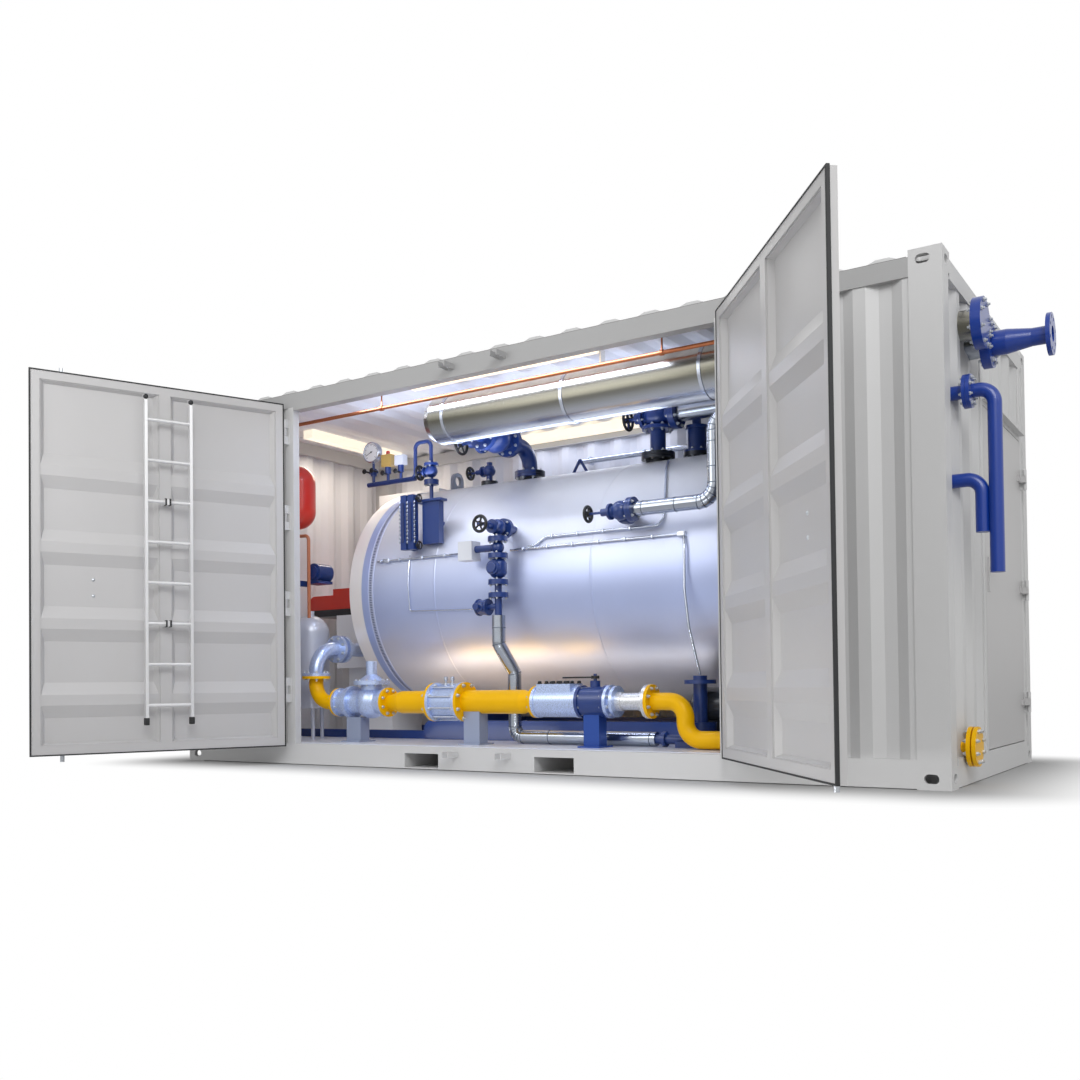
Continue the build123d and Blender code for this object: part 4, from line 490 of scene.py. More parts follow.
# Joint sealant: a dull grey bead that draws the line between roof and rail; its dark grey is painted shade of
# the gap there
SEALANT_AND_GAP_SHADE = Finish("roof_joint_sealant_and_painted_shade", "#7B7B7A", roughness=0.7)
# Bright steel tube: smooth silver
STEEL = Finish("bright_steel_tube", "#C9CFDC", roughness=0.25, metallic=0.9, relief_mm=20.0)
# Swaged joints of pipe cladding: a darker line that breaks the bright sheet, painted shade at the laps
SWAGE = Finish("swaged_joint_painted_shade", "#68717F", roughness=0.4, metallic=0.7)
# Dial enamel: glossy white
DIAL_WHITE = Finish("enamelled_dial", "#F4F4F1", roughness=0.4, coat=0.4)
# Shade in the cladding's slots and behind the gauge glasses
HOLES = Finish("perforation_shade", "#2B3763", roughness=0.7)

NODE_FINISH: dict[str, Finish] = {
    **dict.fromkeys(("corner_castings", "corner_posts", "bottom_rails", "base_crossmembers",
                     "end_door_posts", "door_jambs", "door_hinge_brackets"), CONTAINER),
    "top_rails": TOP_RAIL,
    "roof": SHEETS[Side.ROOF],
    "back_wall": SHEETS[Side.BACK],
    "left_end_wall": SHEETS[Side.LEFT],
    "front_wall_panels": SHEETS[Side.FRONT],
    "right_end_wall": SHEETS[Side.RIGHT],
    **dict.fromkeys(("left_door_leaf", "right_door_leaf", "end_door_leaf"), DOOR),
    **dict.fromkeys(("left_lock_rod", "right_lock_rod"), ZINC),
    "left_door_ladder": LADDER,
    "boiler_shell": SHELL,
    "steam_header": HEADER,
    "lagged_lines": LAGGING,
    **dict.fromkeys(("boiler_front", "boiler_rear"), RING),
    **dict.fromkeys(("boiler_skid", "feed_valve", "level_gauge", "gas_valve", "dosing_pump"), BLUE),
    **dict.fromkeys(("steam_outlets", "vent_pipes"), OUTSIDE_BLUE),
    "main_steam_valve": MAIN_BLUE,
    "boiler_top_valves": TOP_BLUE,
    "desalting_valves": DRAIN_BLUE,
    "instrument_manifold": MANIFOLD_BLUE,
    "gas_supports": STANDS,
    "feed_pump": PUMP_BLUE,
    **dict.fromkeys(("burner_housing", "control_cabinet"), WHITE),
    "dosing_vessel": TANK,
    "burner_cover": RED,
    "expansion_vessel": RED_TANK,
    "gas_line": YELLOW,
    **dict.fromkeys(("gas_fittings", "gas_riser"), CASTING),
    **dict.fromkeys(("main_steam_handwheel", "feed_handwheel", "desalting_handwheel", "gas_lever"), BLACK),
    "ceiling_pipe": COPPER,
    "luminaires": LAMP,
    "floor_plate": TREAD,
}


def dress_nodes(nodes: dict[str, bpy.types.Object]) -> None:
    """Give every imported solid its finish.

    Args:
        nodes: node name to object.
    """
    for name, obj in nodes.items():
        obj.data.materials.clear()
        obj.data.materials.append(NODE_FINISH[name].material())
        LOG.info("dressed %s with %s", name, NODE_FINISH[name].name)


@dataclass
class Surface:
    """Points in millimetres and the quads that join them."""

    points: Array
    quads: Array

    def repeated(self, turns: Array, places: Array) -> "Surface":
        """Copy the surface to many places at once: each point is turn times point plus place.

        Args:
            turns: one 3 by 3 matrix per copy.
            places: one origin per copy.

        Returns:
            All copies as one surface.
        """
        points = np.einsum("nij,kj->nki", turns, self.points) + places[:, None, :]
        offsets = np.arange(len(places)) * len(self.points)
        quads = self.quads[None] + offsets[:, None, None]
        return Surface(points.reshape(-1, 3), quads.reshape(-1, 4))

    def along(self, axis: Sequence[float], places: Sequence) -> "Surface":
        """Return copies at several places, each with its own z along one axis."""
        ways = np.broadcast_to(np.array(axis, float), (len(places), 3))
        return self.repeated(axis_frames(ways), np.asarray(places, float))

    def at(self, axis: Sequence[float], place: Triple) -> "Surface":
        """Return the surface with its own z along an axis, moved to a place."""
        return self.along(axis, [place])

    def moved(self, places: Sequence) -> "Surface":
        """Return copies at several places, unturned."""
        return self.repeated(np.broadcast_to(np.eye(3), (len(places), 3, 3)), np.asarray(places, float))


def joined(parts: Sequence[Surface]) -> Surface:
    """Return several surfaces as one.

    Args:
        parts: the surfaces.

    Returns:
        One surface with all their quads.
    """
    counts = np.cumsum([0] + [len(part.points) for part in parts[:-1]])
    quads = [part.quads + offset for part, offset in zip(parts, counts)]
    return Surface(np.concatenate([part.points for part in parts]), np.concatenate(quads))


def axis_frames(axes: Array) -> Array:
    """Return frames whose third column is each axis and whose others are cross products with a skew guide.

    Args:
        axes: one direction per row.

    Returns:
        One 3 by 3 matrix per row.
    """
    axes = axes / np.linalg.norm(axes, axis=-1, keepdims=True)
    guide = np.broadcast_to(np.array([0.31, 0.83, 0.47]), axes.shape)
    side = np.cross(guide, axes)
    side = side / np.linalg.norm(side, axis=-1, keepdims=True)
    return np.stack([side, np.cross(axes, side), axes], axis=-1)


def grid_quads(rows: int, cols: int, ring: bool = False) -> Array:
    """Return the quads of a grid whose columns close round, and whose rows close too in a ring.

    Args:
        rows: points along the profile.
        cols: points round.
        ring: whether the last row joins the first.

    Returns:
        Four point numbers per quad.
    """
    index = np.arange(rows * cols).reshape(rows, cols)
    first = index if ring else index[:-1]
    last = np.roll(index, -1, axis=0) if ring else index[1:]
    quads = np.stack([first, np.roll(first, -1, axis=1), np.roll(last, -1, axis=1), last], axis=-1)
    return quads.reshape(-1, 4)


def angles(count: int, start: float = 0.0) -> Array:
    """Return evenly spaced angles round a circle, the first at a share of one step."""
    return (np.arange(count) + start) * 2.0 * np.pi / count


def revolved(profile: Sequence[Pair], sides: int, ring: bool = False) -> Surface:
    """Turn a profile about z: a point is (radius cos t, radius sin t, height).

    Args:
        profile: radius and height pairs, from pole to pole, or all round in a ring.
        sides: steps of the turn t.
        ring: whether the profile closes on itself.

    Returns:
        The turned surface.
    """
    turn = angles(sides)
    radius, height = np.array(profile, float).T
    points = np.stack([np.outer(radius, np.cos(turn)), np.outer(radius, np.sin(turn)),
                       np.outer(height, np.ones(sides))], axis=-1)
    return Surface(points.reshape(-1, 3), grid_quads(len(radius), sides, ring))


def torus(radius: float, tube: float, around: int = 40, across: int = 12) -> Surface:
    """Return a round ring: a small circle of the tube carried round a large one.

    Args:
        radius: radius of the large circle.
        tube: radius of the small one.
        around: steps of the large circle.
        across: steps of the small one.

    Returns:
        The ring round z.
    """
    turn = angles(across)
    profile = np.stack([radius + tube * np.cos(turn), tube * np.sin(turn)], axis=-1)
    return revolved(profile, around, ring=True)


def rod(radius: float, length: float, sides: int = 16, bevel: float = 0.1) -> Surface:
    """Return a round rod along z from zero, its edges broken by a share of its radius.

    Args:
        radius: radius of the rod.
        length: its length.
        sides: steps round it.
        bevel: share of the radius that the edges lose.

    Returns:
        The closed rod.
    """
    cut = bevel * radius
    return revolved([(0.0, 0.0), (radius - cut, 0.0), (radius, cut), (radius, length - cut),
                     (radius - cut, length), (0.0, length)], sides)


def hoop(inner: float, outer: float, half: float, cut: Pair, sides: int) -> Surface:
    """Return a flat ring round z, its outer edges broken by a cut in radius and in height.

    Args:
        inner: inner radius.
        outer: outer radius.
        half: half height.
        cut: what the outer edges lose in radius and in height.
        sides: steps round it.

    Returns:
        The closed ring.
    """
    flat, tall = cut
    return revolved([(inner, -half), (outer - flat, -half), (outer, tall - half), (outer, half - tall),
                     (outer - flat, half), (inner, half)], sides, ring=True)


def soft_box(half: Triple, square: float = 0.22, rows: int = 14, cols: int = 24) -> Surface:
    """Return a box with rounded edges, a superellipsoid.

    A point is half x times c(v) c(u), half y times c(v) s(u) and half z times s(v), where c and s
    are cosine and sine raised to a small power with their sign kept.

    Args:
        half: half sizes along x, y and z.
        square: the power; nearer zero is squarer.
        rows: steps from pole to pole.
        cols: steps round.

    Returns:
        The surface, centred on the origin.
    """
    v = np.linspace(-np.pi / 2, np.pi / 2, rows)
    u = angles(cols, 0.5)

    def power(value: Array) -> Array:
        """Raise to the small power with the sign kept."""
        return np.sign(value) * np.abs(np.round(value, 12)) ** square

    flat = power(np.cos(v))
    points = np.stack([half[0] * np.outer(flat, power(np.cos(u))), half[1] * np.outer(flat, power(np.sin(u))),
                       half[2] * np.outer(power(np.sin(v)), np.ones(cols))], axis=-1)
    return Surface(points.reshape(-1, 3), grid_quads(rows, cols))


def rounded(corners: Sequence[Triple], cut: float, steps: int = 9) -> Array:
    """Round a route's corners, each by the parabola that leaves both runs at the same distance.

    Args:
        corners: points of the route.
        cut: distance from a corner to where its curve starts.
        steps: points on each curve.

    Returns:
        The points of the rounded route.
    """
    route = np.array(corners, float)
    runs = np.diff(route, axis=0)
    runs = runs / np.linalg.norm(runs, axis=1, keepdims=True)
    s = np.linspace(0.0, 1.0, steps)[None, :, None]
    middle = route[1:-1, None, :]
    start = middle - cut * runs[:-1, None, :]
    end = middle + cut * runs[1:, None, :]
    curves = (1 - s) ** 2 * start + 2 * s * (1 - s) * middle + s ** 2 * end
    return np.concatenate([route[:1], curves.reshape(-1, 3), route[-1:]])


def tube(path: Array, radius: float, sides: int = 12) -> Surface:
    """Carry a circle along a path; the ends are drawn in to a point.

    Args:
        path: points of the middle line.
        radius: radius of the circle.
        sides: steps round it.

    Returns:
        The closed tube.
    """
    frames = axis_frames(np.gradient(path, axis=0))
    turn = angles(sides)
    circle = radius * np.stack([np.cos(turn), np.sin(turn), np.zeros(sides)], axis=-1)
    rings = np.einsum("nij,kj->nki", frames, circle) + path[:, None, :]
    first = np.broadcast_to(path[:1, None, :], (1, sides, 3))
    last = np.broadcast_to(path[-1:, None, :], (1, sides, 3))
    points = np.concatenate([first, rings, last])
    return Surface(points.reshape(-1, 3), grid_quads(len(points), sides))


def make_piece(name: str, surface: Surface, finish: Finish, body: str = CONTAINER_BODY,
               stands_for: Sequence[str] = (), sharp_deg: float = 38.0) -> bpy.types.Object:
    """Put a surface into the scene as one piece.

    Args:
        name: the piece's name.
        surface: its points and quads in millimetres.
        finish: what it is painted with.
        body: the body it rides on.
        stands_for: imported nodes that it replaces.
        sharp_deg: edges past this angle stay sharp.

    Returns:
        The new object.
    """
    mesh = bpy.data.meshes.new(name)
    mesh.from_pydata((surface.points * MM).tolist(), [], surface.quads.tolist())
    work = bmesh.new()
    work.from_mesh(mesh)
    bmesh.ops.remove_doubles(work, verts=work.verts, dist=1e-6)
    bmesh.ops.recalc_face_normals(work, faces=work.faces)
    work.to_mesh(mesh)
    work.free()
    mesh.polygons.foreach_set("use_smooth", np.ones(len(mesh.polygons), bool))
    mesh.set_sharp_from_angle(angle=math.radians(sharp_deg))
    mesh.materials.append(finish.material())
    piece = bpy.data.objects.new(name, mesh)
    bpy.context.scene.collection.objects.link(piece)
    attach(piece, body)
    if stands_for:
        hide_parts(*stands_for)
    LOG.info("built %s: %d faces on %s", name, len(mesh.polygons), body)
    return piece


@dataclass
class RoofEnds:
    """Pressed ends that close the roof's corrugations over the long top rails."""

    inner: float = ROOF_INNER
    pitch: float = 283.0
    rise: float = 31.5
    base: float = 2860.0
    sheet_end: float = 1189.0
    reach: float = 26.0
    steps: int = 6
    profile: tuple[float, ...] = (0.13, 0.37, 0.63, 0.87)
    sunk: float = 1.0
    bead_radius: float = 5.0
    bead_y: float = 1214.0
    bead_gap: float = 10.0

    def bead(self) -> Surface:
        """Return a round bead of sealant along the top edge of each long rail, dark grey as painted shade of
        the gap between roof and rail.

        Returns:
            Both beads.
        """
        start = self.bead_gap - self.inner
        line = rod(self.bead_radius, -2.0 * start)
        return line.along(X_AXIS, [(start, side * self.bead_y, self.base) for side in (-1.0, 1.0)])

    def surface(self) -> Surface:
        """Return every end: the sheet's trapezoid falls along a quarter ellipse towards the rail.

        A row at share s lies s times the reach beyond the sheet, with heights times the root of
        1 - s squared.

        Returns:
            The ends of all crests on both sides.
        """
        count = round(2 * self.inner / self.pitch)
        step = 2 * self.inner / count
        across = np.array(self.profile) * step
        height = np.array([0.0, self.rise, self.rise, 0.0])
        share = np.linspace(0.0, 1.0, self.steps)
        fall = np.sqrt(1.0 - share ** 2)
        rows = np.stack([np.broadcast_to(across, (self.steps, 4)),
                         np.broadcast_to((share * self.reach)[:, None], (self.steps, 4)),
                         np.outer(fall, height)], axis=-1)
        rows[:, (0, 3), 2] = -self.sunk
        back = np.broadcast_to(rows[0].mean(axis=0), (1, 4, 3))
        front = np.broadcast_to(rows[-1].mean(axis=0), (1, 4, 3))
        points = np.concatenate([back, rows, front])
        end = Surface(points.reshape(-1, 3), grid_quads(len(points), 4))
        starts = -self.inner + step * np.arange(count)
        edge = np.full(count, self.sheet_end - self.sunk)
        places = np.stack([starts, edge, np.full(count, self.base)], axis=-1)
        sides = []
        for way in (-1.0, 1.0):
            mirror = np.array([1.0, way, 1.0])
            sides.append(end.repeated(np.broadcast_to(np.diag(mirror), (count, 3, 3)), places * mirror))
        return joined(sides)

    def build(self) -> None:
        """Build and dress the ends and the sealant bead, whose dark grey is painted shade."""
        make_piece("roof_crest_ends", self.surface(), CONTAINER)
        make_piece("roof_sealant_and_gap_shade", self.bead(), SEALANT_AND_GAP_SHADE)


@dataclass
class DoorLeaf:
    """Rubber edge and rivets of one large door leaf, laid out closed and then swung open."""

    name: str
    open_deg: float
    mirrored: bool
    seal_out: float = 5.5
    seal_in: float = 4.0
    seal_front: float = -1247.0
    seal_back: float = -1227.0
    seal_cuts: Pair = (2.0, 3.0)
    leaf_gap: float = 20.0
    meet_half: float = 6.0
    rivet_x: float = -454.0
    rivet_z: Pair = (1241.0, 1354.0)
    field_y: float = -1273.0

    def swung(self, surface: Surface) -> Surface:
        """Mirror a closed left-hand surface if need be and turn it about its hinge.

        Args:
            surface: the surface on the closed left leaf.

        Returns:
            The surface at the leaf's rest place.
        """
        points = surface.points.copy()
        side = -1.0
        if self.mirrored:
            points[:, 0] = 2.0 * DOOR_MID - points[:, 0]
            side = 1.0
        hinge = np.array([DOOR_MID + side * HINGE_HALF, HINGE_Y, 0.0])
        angle = math.radians(side * self.open_deg)
        turn = np.array([[math.cos(angle), -math.sin(angle), 0.0], [math.sin(angle), math.cos(angle), 0.0],
                         [0.0, 0.0, 1.0]])
        return Surface((points - hinge) @ turn.T + hinge, surface.quads)

    def seal(self) -> Surface:
        """Return the rubber edge: a rectangular section carried round the leaf with mitred corners.

        Each point is the leaf's corner moved out by the section's first value, at its second value as y.

        Returns:
            The closed ring of the seal.
        """
        x0 = DOOR_MID - HINGE_HALF + self.leaf_gap
        x1 = DOOR_MID - self.meet_half
        corners = np.array([[x0, LEAF_BOTTOM], [x1, LEAF_BOTTOM], [x1, LEAF_TOP], [x0, LEAF_TOP]])
        signs = np.sign(corners - corners.mean(axis=0))
        out, front, back = self.seal_out, self.seal_front, self.seal_back
        first, last = self.seal_cuts
        section = np.array([[-self.seal_in, front], [out - first, front], [out, front + first],
                            [out, back - last], [out - last, back], [-self.seal_in, back]])
        flat = corners[:, None, :] + signs[:, None, :] * section[None, :, :1]
        depth = np.broadcast_to(section[None, :, 1:], flat[..., :1].shape)
        points = np.concatenate([flat[..., :1], depth, flat[..., 1:]], axis=-1)
        return Surface(points.reshape(-1, 3), grid_quads(len(corners), len(section), ring=True))

    def build(self) -> None:
        """Build and dress the leaf's edge and rivets."""
        make_piece(f"{self.name}_seal", self.swung(self.seal()), RUBBER, self.name)
        dome = revolved([(0.0, 7.0), (6.0, 6.0), (10.0, 3.0), (12.0, 0.0), (0.0, -1.0)], 16)
        rivets = dome.along(Y_AXIS, [(self.rivet_x, self.field_y, z) for z in self.rivet_z])
        make_piece(f"{self.name}_rivets", self.swung(rivets), ZINC, self.name)


@dataclass
class LadderEnds:
    """Rubber feet, clamps and hook caps of the ladder on the left leaf."""

    leaf: DoorLeaf
    rails_x: Pair = (-1102.0, -785.0)
    rail_y: float = -1169.0
    foot_z: float = 360.0
    foot_half: Triple = (15.0, 25.0, 26.0)
    stile_x: float = -937.0
    clamp_z: Pair = (1054.0, 1924.0)
    clamp_off: float = 15.0
    clamp_half: Triple = (6.0, 24.0, 25.0)
    hook_z: float = 2662.0
    hook_y: float = -1152.0

    def build(self) -> None:
        """Build and dress the feet, clamps and hook caps."""
        feet = soft_box(self.foot_half).moved([(x, self.rail_y, self.foot_z) for x in self.rails_x])
        clamps = soft_box(self.clamp_half).moved([(self.stile_x + side * self.clamp_off, self.rail_y, z)
                                                  for z in self.clamp_z for side in (-1, 1)])
        cap = revolved([(0.0, 6.0), (11.0, 6.0), (17.0, 2.0), (17.0, -10.0), (0.0, -10.0)], 20)
        hooks = cap.along(Y_AXIS, [(x, self.hook_y, self.hook_z) for x in self.rails_x])
        ends = self.leaf.swung(joined([feet, clamps, hooks]))
        make_piece("ladder_feet", ends, RUBBER, self.leaf.name)


@dataclass
class Handwheel:
    """A spoked valve wheel with a round rim."""

    name: str
    centre: Triple
    axis: Triple
    radius: float
    bore: float
    body: str = CONTAINER_BODY
    node: str = ""
    rim: float = 11.5
    spoke: float = 7.0
    spokes: int = 5
    hub_wall: float = 11.0
    hub_half: float = 14.0
    hub_cut: float = 3.0
    hub_lap: float = 4.0

    def build(self) -> None:
        """Build and dress the rim, spokes and hub."""
        middle = self.radius - self.rim
        hub = hoop(self.bore, self.bore + self.hub_wall, self.hub_half, (self.hub_cut, self.hub_cut), 24)
        turn = angles(self.spokes)
        out = np.stack([np.cos(turn), np.sin(turn), np.zeros(self.spokes)], axis=-1)
        root = self.bore + self.hub_lap
        arms = rod(self.spoke, middle - root).repeated(axis_frames(out), out * root)
        wheel = joined([torus(middle, self.rim), hub, arms])
        make_piece(self.name, wheel.at(self.axis, self.centre), BLACK, self.body,
                   (self.node,) if self.node else ())


def handwheels() -> list[Handwheel]:
    """Return the three turning wheels, then the three that are pressed on their stems.

    Returns:
        The wheels in the order they are built.
    """
    thick = {"rim": 11.2, "spoke": 8.3, "spokes": 4}
    return [
        Handwheel("main_steam_wheel_rim", off(MAIN, x=-340.0), X_AXIS, 88.0, 12.3, "main_steam_wheel",
                  "main_steam_handwheel"),
        Handwheel("feed_wheel_rim", off(FEED, x=-254.0), X_AXIS, 62.0, 9.3, "feed_wheel", "feed_handwheel"),
        Handwheel("desalting_wheel_rim", off(DRAIN, y=-216.0), Y_AXIS, 66.0, 8.3, "desalting_wheel",
                  "desalting_handwheel"),
        Handwheel("second_steam_wheel", off(SECOND, x=-250.0), X_AXIS, 83.7, 12.0, **thick),
        Handwheel("vent_wheel", off(VENT, x=-200.0), X_AXIS, 59.7, 8.0, **thick),
        Handwheel("syphon_wheel", off(SYPHON, x=-118.0), X_AXIS, 63.7, 8.0, **thick),
    ]


@dataclass
class BoltCircle:
    """Bolt heads and nuts on both outer faces of a flanged joint."""

    centre: Triple
    axis: Triple
    low: float
    high: float
    radius: float
    count: int = 8
    head: float = 13.0

    def surface(self) -> Surface:
        """Return the bolts: hexagon heads with a broken edge and a stud end, spaced evenly on a circle.

        Returns:
            All bolts of the joint as one surface.
        """
        tall = 0.75 * self.head
        head = revolved([(0.0, tall), (0.84 * self.head, tall), (self.head, 0.8 * tall), (self.head, -1.0),
                         (0.0, -1.0)], 6)
        bolt = joined([head, rod(0.55 * self.head, 1.5 * self.head, 8)])
        axis = np.array(self.axis)
        turn = angles(self.count, 0.5)
        frame = axis_frames(axis[None])[0]
        if abs(axis[2]) < 0.5:
            side = np.cross(axis, Z_AXIS)
            frame = np.stack([side, np.cross(axis, side), axis], axis=-1)
        spread = self.radius * (np.outer(np.cos(turn), frame[:, 0]) + np.outer(np.sin(turn), frame[:, 1]))
        return joined([bolt.along(sign * axis, np.array(self.centre) + face * axis + spread)
                       for sign, face in ((-1.0, self.low), (1.0, self.high))])


@dataclass
class FlangeBolts:
    """The bolts of every flanged joint, grouped by the sub-assembly that carries them."""

    gas_joints: tuple[float, ...] = (-1640.0, -1150.0, 222.0, 572.0, 790.0, 1092.0)
    filter_joints: tuple[float, ...] = (-674.0, -416.0)
    riser: Pair = (-1900.0, 679.0)
    drain_drops: tuple[float, ...] = (86.0, 206.0, 396.0, 490.0)

    def gas(self) -> list[BoltCircle]:
        """Return the gas train's joints.

        Returns:
            One bolt circle per joint.
        """
        x, z = self.riser
        return [
            *(BoltCircle((at, GAS_Y, GAS_Z), X_AXIS, -22.0, 22.0, 90.0) for at in self.gas_joints),
            *(BoltCircle((at, GAS_Y, GAS_Z), X_AXIS, -22.0, 22.0, 127.0, 8, 15.0)
              for at in self.filter_joints),
            BoltCircle((x, GAS_Y, z), Z_AXIS, -22.0, 22.0, 90.0),
            BoltCircle((x, GAS_Y + 235.0, 900.0), Y_AXIS, -13.0, 80.0, 90.0),
            BoltCircle((-1310.0, GAS_Y, 620.0), Z_AXIS, -15.0, 15.0, 122.0, 12, 9.0),
        ]

    def boiler(self) -> list[BoltCircle]:
        """Return the joints of the valves on the boiler.

        Returns:
            One bolt circle per joint.
        """
        return [
            *(BoltCircle(off(MAIN, y=side * 168.0), Y_AXIS, -24.0, 24.0, 97.0) for side in (-1, 1)),
            BoltCircle(off(MAIN, x=-143.0), X_AXIS, -13.0, 13.0, 79.0, 8, 11.0),
            BoltCircle((MAIN[0], BOILER_Y, BOILER_TOP + 54.0), Z_AXIS, -25.0, 25.0, 103.0),
            BoltCircle((*SECOND[:2], BOILER_TOP + 20.0), Z_AXIS, -12.0, 25.0, 103.0),
            BoltCircle(off(SECOND, z=-96.0), Z_AXIS, -12.0, 12.0, 97.0),
            BoltCircle(off(SECOND, x=152.0), X_AXIS, -24.0, 24.0, 97.0),
            BoltCircle(off(SECOND, x=-112.0), X_AXIS, -12.0, 12.0, 73.0, 8, 10.0),
            BoltCircle((930.0, BOILER_Y, BOILER_TOP + 38.0), Z_AXIS, -23.0, 25.0, 84.0, 8, 10.0),
            BoltCircle((VENT[0], BOILER_Y, BOILER_TOP + 25.0), Z_AXIS, -20.0, 21.0, 56.0, 4, 10.0),
            BoltCircle(off(SYPHON, z=-90.0), Z_AXIS, -20.0, 20.0, 46.0, 4, 9.0),
            BoltCircle(off(SYPHON, z=56.0), Z_AXIS, -10.0, 10.0, 46.0, 4, 9.0),
            BoltCircle(off(FEED, x=87.0), X_AXIS, -21.0, 21.0, 66.0, 4, 11.0),
            BoltCircle(off(FEED, y=90.0), Y_AXIS, -20.0, 20.0, 66.0, 4, 11.0),
            *(BoltCircle(off(DRAIN, z=-drop), Z_AXIS, -18.0, 18.0, 57.0, 4, 9.0)
              for drop in self.drain_drops),
            BoltCircle(off(DRAIN, y=84.0), Y_AXIS, -18.0, 18.0, 57.0, 4, 9.0),
        ]

    def outside(self) -> list[BoltCircle]:
        """Return the joints outside the pipe-end wall.

        Returns:
            One bolt circle per joint.
        """
        return [
            BoltCircle((RIGHT, HEADER_Y, HEADER_Z), X_AXIS, 70.0, 124.0, 122.0),
            BoltCircle((RIGHT, -560.0, 2505.0), X_AXIS, 70.0, 122.0, 110.0),
            BoltCircle((RIGHT, -929.0, 2160.0), X_AXIS, 38.0, 79.0, 74.0, 8, 11.0),
            BoltCircle((RIGHT, GAS_Y + 40.0, 216.0), X_AXIS, 15.0, 67.0, 90.0),
        ]

    def build(self) -> None:
        """Build and dress one piece for each group."""
        for name, circles in (("gas_flange_bolts", self.gas()), ("valve_flange_bolts", self.boiler()),
                              ("outlet_flange_bolts", self.outside())):
            bolts = joined([circle.surface() for circle in circles])
            make_piece(name, bolts, ZINC, sharp_deg=25.0)


@dataclass
class GasTrainFittings:
    """Tie rods, caps and test points on the gas train."""

    filter_from: float = -652.0
    filter_long: float = 214.0
    rod_circle: float = 130.0
    rod_count: int = 10
    rod_r: float = 7.0
    cover_top: float = 592.0
    cap_x: Pair = (285.0, 510.0)
    cap_rows: Pair = (-964.0, -816.0)
    cap_count: int = 5
    test_x: tuple[float, ...] = (-585.0, -525.0)
    test_up: float = 121.0

    def build(self) -> None:
        """Build and dress the pieces."""
        turn = angles(self.rod_count, 0.5)
        places = np.stack([np.full(self.rod_count, self.filter_from), GAS_Y + self.rod_circle * np.cos(turn),
                           GAS_Z + self.rod_circle * np.sin(turn)], axis=-1)
        ties = rod(self.rod_r, self.filter_long).along(X_AXIS, places)
        make_piece("filter_tie_rods", ties, STEEL)
        cap = revolved([(0.0, 20.0), (9.0, 20.0), (13.0, 16.0), (13.0, 5.0), (17.0, 5.0), (17.0, -1.0),
                        (0.0, -1.0)], 12)
        along = np.linspace(*self.cap_x, self.cap_count)
        caps = cap.moved([(x, y, self.cover_top) for y in self.cap_rows for x in along])
        make_piece("shut_off_caps", caps, BLACK)
        nipple = revolved([(0.0, 64.0), (10.0, 64.0), (15.0, 60.0), (15.0, 38.0), (8.0, 34.0), (8.0, 18.0),
                           (19.0, 16.0), (19.0, -4.0), (0.0, -4.0)], 16)
        points = nipple.moved([(x, GAS_Y, GAS_Z + self.test_up) for x in self.test_x])
        make_piece("filter_test_points", points, STEEL)


@dataclass
class PressureDial:
    """Face, scale, pointer and rim of the pressure gauge."""

    centre: Triple = (-1800.0, -329.0, 2559.0)
    radius: float = 84.0
    ticks: int = 41
    sweep_deg: float = 270.0
    pointer_deg: float = 205.0
    pointer: Pair = (-18.0, 60.0)
    pointer_lift: float = 4.5
    fine_at: float = 68.0
    bold_at: float = 64.0
    mark_lift: float = 2.4

    def on_face(self, surface: Surface) -> Surface:
        """Stand a surface drawn on x and y up on the dial, its z towards the front."""
        turn = np.array([[1.0, 0.0, 0.0], [0.0, 0.0, -1.0], [0.0, 1.0, 0.0]])
        return surface.repeated(turn[None], np.array([self.centre]))

    def scale_marks(self) -> Surface:
        """Return the marks: small bars on a circle, every fifth one longer.

        Returns:
            The marks flat on x and y.
        """
        angle = np.radians(-45.0 + self.sweep_deg * np.linspace(0.0, 1.0, self.ticks))
        out = np.stack([np.cos(angle), np.sin(angle), np.zeros(self.ticks)], axis=-1)
        frames = np.stack([out, np.cross(np.broadcast_to(Z_AXIS, out.shape), out),
                           np.broadcast_to(Z_AXIS, out.shape)], axis=-1)
        long = np.arange(self.ticks) % 5 == 0
        lift = np.array([0.0, 0.0, self.mark_lift])
        fine = soft_box((4.0, 0.9, 0.5), rows=6, cols=8)
        bold = soft_box((8.0, 1.6, 0.5), rows=6, cols=8)
        return joined([fine.repeated(frames[~long], out[~long] * self.fine_at + lift),
                       bold.repeated(frames[long], out[long] * self.bold_at + lift)])

    def build(self) -> None:
        """Build and dress the dial's pieces."""
        face = revolved([(0.0, 2.0), (self.radius - 6, 2.0), (self.radius - 6, 0.2), (0.0, 0.2)], 48)
        make_piece("dial_face", self.on_face(face), DIAL_WHITE)
        outer = self.radius + 3.0
        rim = revolved([(self.radius - 7, 1.0), (self.radius - 7, 6.0), (self.radius - 3, 9.0), (outer, 6.0),
                        (outer, -30.0), (self.radius - 1, -30.0)], 48, ring=True)
        make_piece("dial_rim", self.on_face(rim), STEEL)
        angle = math.radians(self.pointer_deg)
        tip = np.array([math.cos(angle), math.sin(angle), 0.0])
        path = np.outer(self.pointer, tip) + np.array([0.0, 0.0, self.pointer_lift])
        boss = revolved([(0.0, 7.0), (5.0, 7.0), (7.0, 5.0), (7.0, 1.0), (0.0, 1.0)], 16)
        pointer = joined([tube(path, 2.0, 6), boss, self.scale_marks()])
        make_piece("dial_pointer", self.on_face(pointer), BLACK)


